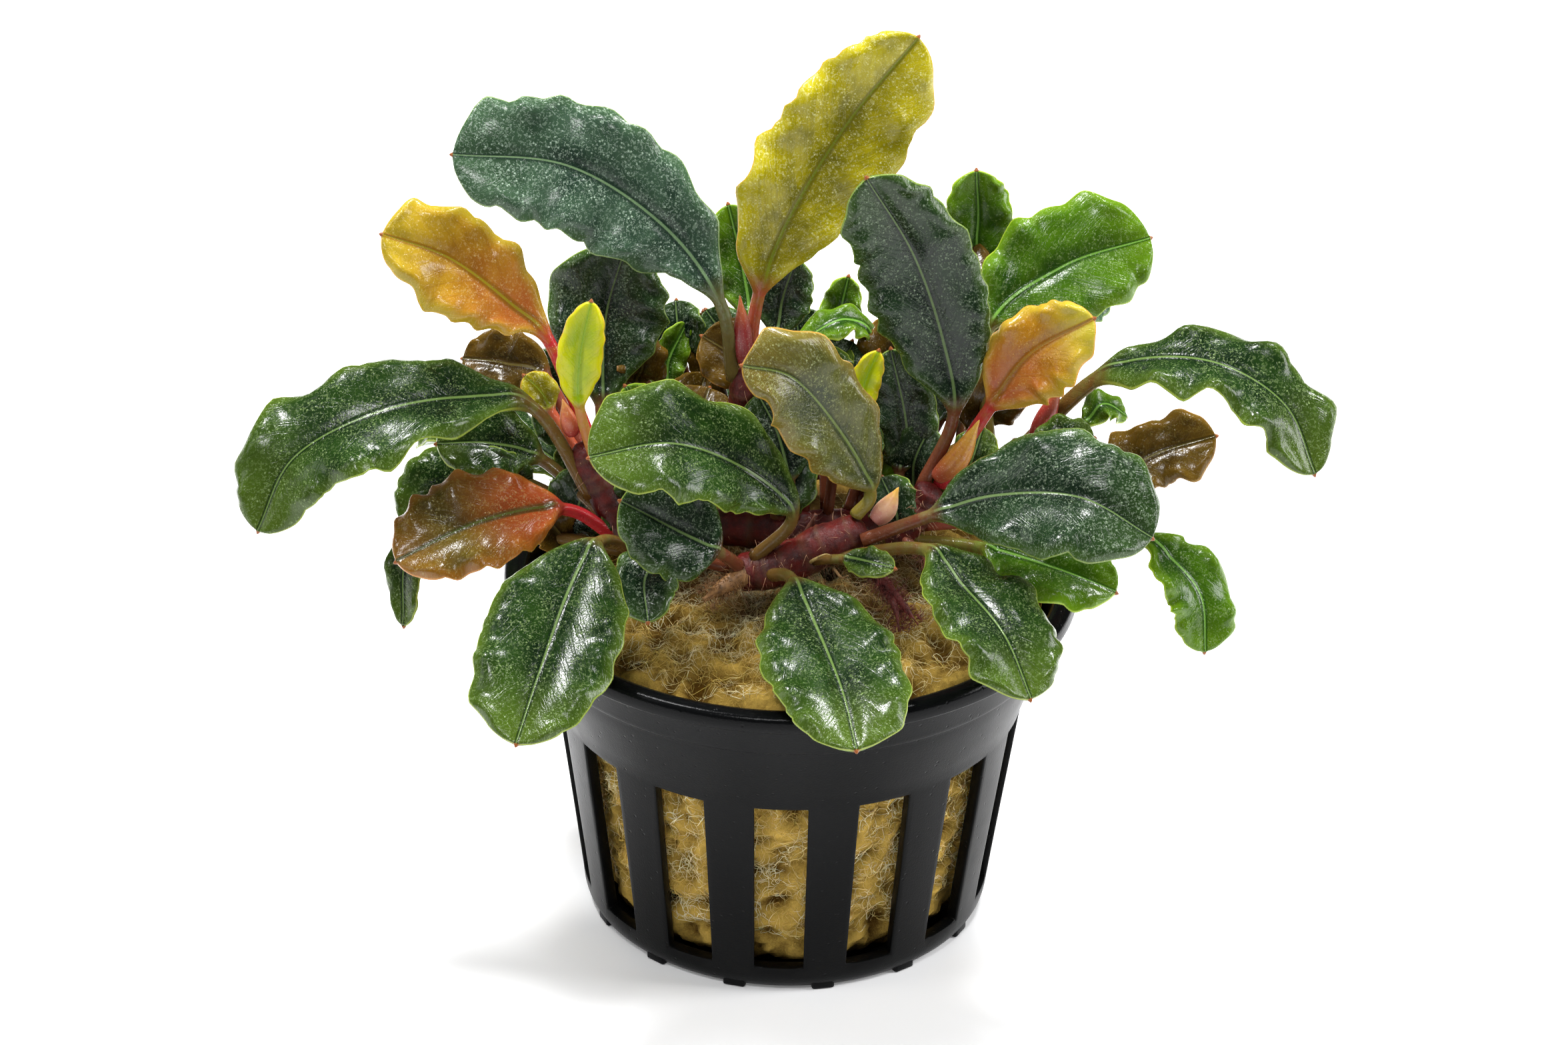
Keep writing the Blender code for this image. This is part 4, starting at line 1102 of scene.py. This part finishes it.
def makeSheathMaterial(name, base, middle, tip):
    material, tree, shader = startMaterial(name.replace("_", " ") + " sheath")
    share, spot = named(tree, "sheathShare", "Fac"), objectPlace(tree)
    streaks = grain(spot, 2.6, 4, 0.6)
    colour = blend(rise(share, 0.05, 0.5), base, middle)
    colour = blend(rise(share, 0.5, 0.95), colour, tip)
    colour = blend(rise(streaks, 0.5, 0.7) * 0.55, colour, base)
    colour = blend(rise(grain(spot, 6.5, 3, 0.6), 0.55, 0.7) * 0.3, colour, sheathSpecks)
    relief(shader, streaks, 0.04, 0.6)
    setLook(shader, Base_Color=colour, Roughness=0.35, Subsurface_Weight=0.15, Subsurface_Scale=0.8 * mm)
    return material


def makeSheath(name, points, radius, colours):
    rows, sides = 34, 24
    grid, shares = [], []
    for i in range(rows):
        share = i / (rows - 1)
        outline = (0.72 + 0.55 * math.sin(math.pi * min(1, share * 1.15)) ** 0.8) * (1 - share**2.2) ** 0.75
        centre = along(points, share)
        size = radius * (0.8 * outline + 0.02)
        for point, angle in ringPoints(centre, heading(points, share), size, sides):
            # one edge laps over the other up one side
            lap = 1 + 0.10 * (1 - share) * ((angle / (2 * math.pi)) - 0.5)
            grid.append(tuple(centre + (point - centre) * lap))
            shares.append(share)
    finish = makeSheathMaterial(name, *colours)
    makePiece(name + " sheath", grid, skin(rows, sides), finish, "sheath_skin", "sheath_" + name,
              sheathShare=shares)


# Roots that hang from the rhizome, and fine hairs on both

roots = {
    "red": limb(0.5, (5.2, -8.2, 38.6), (7.2, -9.2, 37.2), (9.0, -10.3, 35.4), (10.8, -11.4, 33.4),
        fuzz=420, colour=(0.20, 0.030, 0.025)),
    "red_lower": limb(0.35, (6.6, -8.6, 37.0), (8.6, -10.6, 35.2), (9.2, -12.2, 33.2),
        fuzz=240, colour=(0.16, 0.030, 0.022)),
    "stub": limb(0.9, (-3.8, -7.4, 35.8), (-5.6, -8.6, 35.2), (-7.4, -9.4, 34.2),
        fuzz=380, colour=(0.34, 0.17, 0.06)),
    "hook": limb(0.13, (1.6, -8.8, 37.8), (2.0, -9.6, 38.6), (2.8, -9.8, 39.2), (3.4, -9.5, 38.9),
        fuzz=0, colour=(0.48, 0.34, 0.12)),
    "lower_hook": limb(0.14, (3.4, -8.6, 37.4), (4.2, -9.8, 37.0), (4.8, -10.2, 37.4),
        fuzz=0, colour=(0.42, 0.24, 0.10)),
    "left": limb(0.4, (-12.6, -4.6, 36.4), (-13.2, -6.6, 35.8), (-12.4, -8.6, 33.6),
        fuzz=160, colour=(0.26, 0.12, 0.05)),
    "middle": limb(0.5, (-1.5, -3.5, 36.0), (0.8, -4.8, 37.6), (2.0, -5.2, 40.4),
        fuzz=60, colour=(0.12, 0.040, 0.020)),
    "right": limb(0.4, (9.6, -3.2, 37.0), (11.6, -5.4, 36.2), (13.2, -7.6, 33.6),
        fuzz=200, colour=(0.20, 0.06, 0.03)),
}
rhizomeHairs = dict(
    count=620, shares=(0.03, 0.95), foot=0.9, length=(0.5, 1.6), fall=(-1.4, 0.4), steps=5, radius=0.035,
    curl=0, dark=(0.28, 0.11, 0.07), light=(0.50, 0.30, 0.16))
rootFuzz = dict(
    shares=(0.05, 1), foot=0.8, length=(0.5, 1.8), fall=(-1.2, 0.5), steps=6, radius=0.04, curl=0.25)


def hairPath(dice, stem, look):
    share = dice.uniform(*look["shares"])
    centre, ahead = along(stem["points"], share), heading(stem["points"], share)
    foot, angle = ringPoints(centre, ahead, stem["radius"] * look["foot"], 1, dice.uniform(0, 6.28))[0]
    outward = (foot - centre).normalized()
    length = dice.uniform(*look["length"])
    drift = Vector((dice.uniform(-1, 1), dice.uniform(-1, 1), dice.uniform(*look["fall"])))
    path = []
    for i in range(look["steps"]):
        t = i / (look["steps"] - 1)
        curl = ahead * look["curl"] * math.sin(5 * t + angle)
        spot = foot + outward * length * t * 0.6 + drift * length * t**2 * 0.5 + curl * t
        path.append((spot, look["radius"] * (1 - 0.8 * t)))
    return path


def makeHairs(look):
    finish, tree, shader = startMaterial("fine hairs")
    colour = blend(grain(objectPlace(tree), 1.2, 3), look["dark"], look["light"])
    setLook(shader, Base_Color=colour, Roughness=0.5)
    dice = random.Random(77)
    forks = list(rhizomeForks.values())
    often = (0, 1, 1, 1, 2, 3, 3, 4, 5, 6)   # most hairs show on the front and right forks
    paths = [hairPath(dice, forks[dice.choice(often)], look) for _ in range(look["count"])]
    addThreads("rhizome hairs", paths, finish, "rhizome_skin")


def makeRootFinish(name, colour):
    material, tree, shader = startMaterial(name.replace("_", " ") + " root")
    dark = tuple(0.35 * part for part in colour)
    patches = rise(grain(objectPlace(tree), 1.6, 4, 0.7), 0.3, 0.7)
    setLook(shader, Base_Color=blend(patches, dark, colour), Roughness=0.5)
    return material


def makeRoots(table):
    dice = random.Random(19)
    for name, look in table.items():
        body = []
        for t in (i / 15 for i in range(16)):
            centre = along(look["points"], t)
            body.append((centre, look["radius"] * (1.05 - 0.75 * t**2 + noise.noise(centre * 0.9) * 0.4)))
        finish = makeRootFinish(name, look["colour"])
        addThreads(name + " root", [body], finish, "rhizome_skin", 10)
        if look["fuzz"]:
            fuzz = [hairPath(dice, look, rootFuzz) for _ in range(look["fuzz"])]
            addThreads(name + " root fuzz", fuzz, finish, "rhizome_skin")
    print("roots:", len(table))


def makeRhizomes(look):
    finish = makeRhizomeMaterial(look)
    for number, (name, fork) in enumerate(rhizomeForks.items()):
        makeRhizome(name, fork["points"], fork["radius"], look, finish, number)
    for name, shape in sheaths.items():
        makeSheath(name, **shape)
    makeHairs(rhizomeHairs)
    makeRoots(roots)
    print("rhizomes:", len(rhizomeForks), "sheaths:", len(sheaths))


# The floor

floorLook = {"size": 3000, "colour": (0.93, 0.93, 0.94), "patches": (0.95, 0.95, 0.96), "glow": 0.14}


def makeFloor(look):
    half = look["size"] / 2 * mm
    mesh = bpy.data.meshes.new("studio floor")
    corners = [(x, y, 0) for x, y in ((-half, -half), (half, -half), (half, half), (-half, half))]
    mesh.from_pydata(corners, [], [(0, 1, 2, 3)])
    material, tree, shader = startMaterial("studio floor")
    colour = blend(grain(objectPlace(tree), 0.02, 2), look["colour"], look["patches"])
    setLook(shader, Base_Color=colour, Roughness=0.6, Emission_Color=(1, 1, 1),
            Emission_Strength=look["glow"])
    mesh.materials.append(material)
    floor = bpy.data.objects.new("studioFloor", mesh)
    bpy.context.scene.collection.objects.link(floor)


addCamera(cameraView)
addLights(lighting)
makeFloor(floorLook)
makePot(potShape)
makeWool(woolShape)
makeRhizomes(rhizomeLook)
makeLeaves()
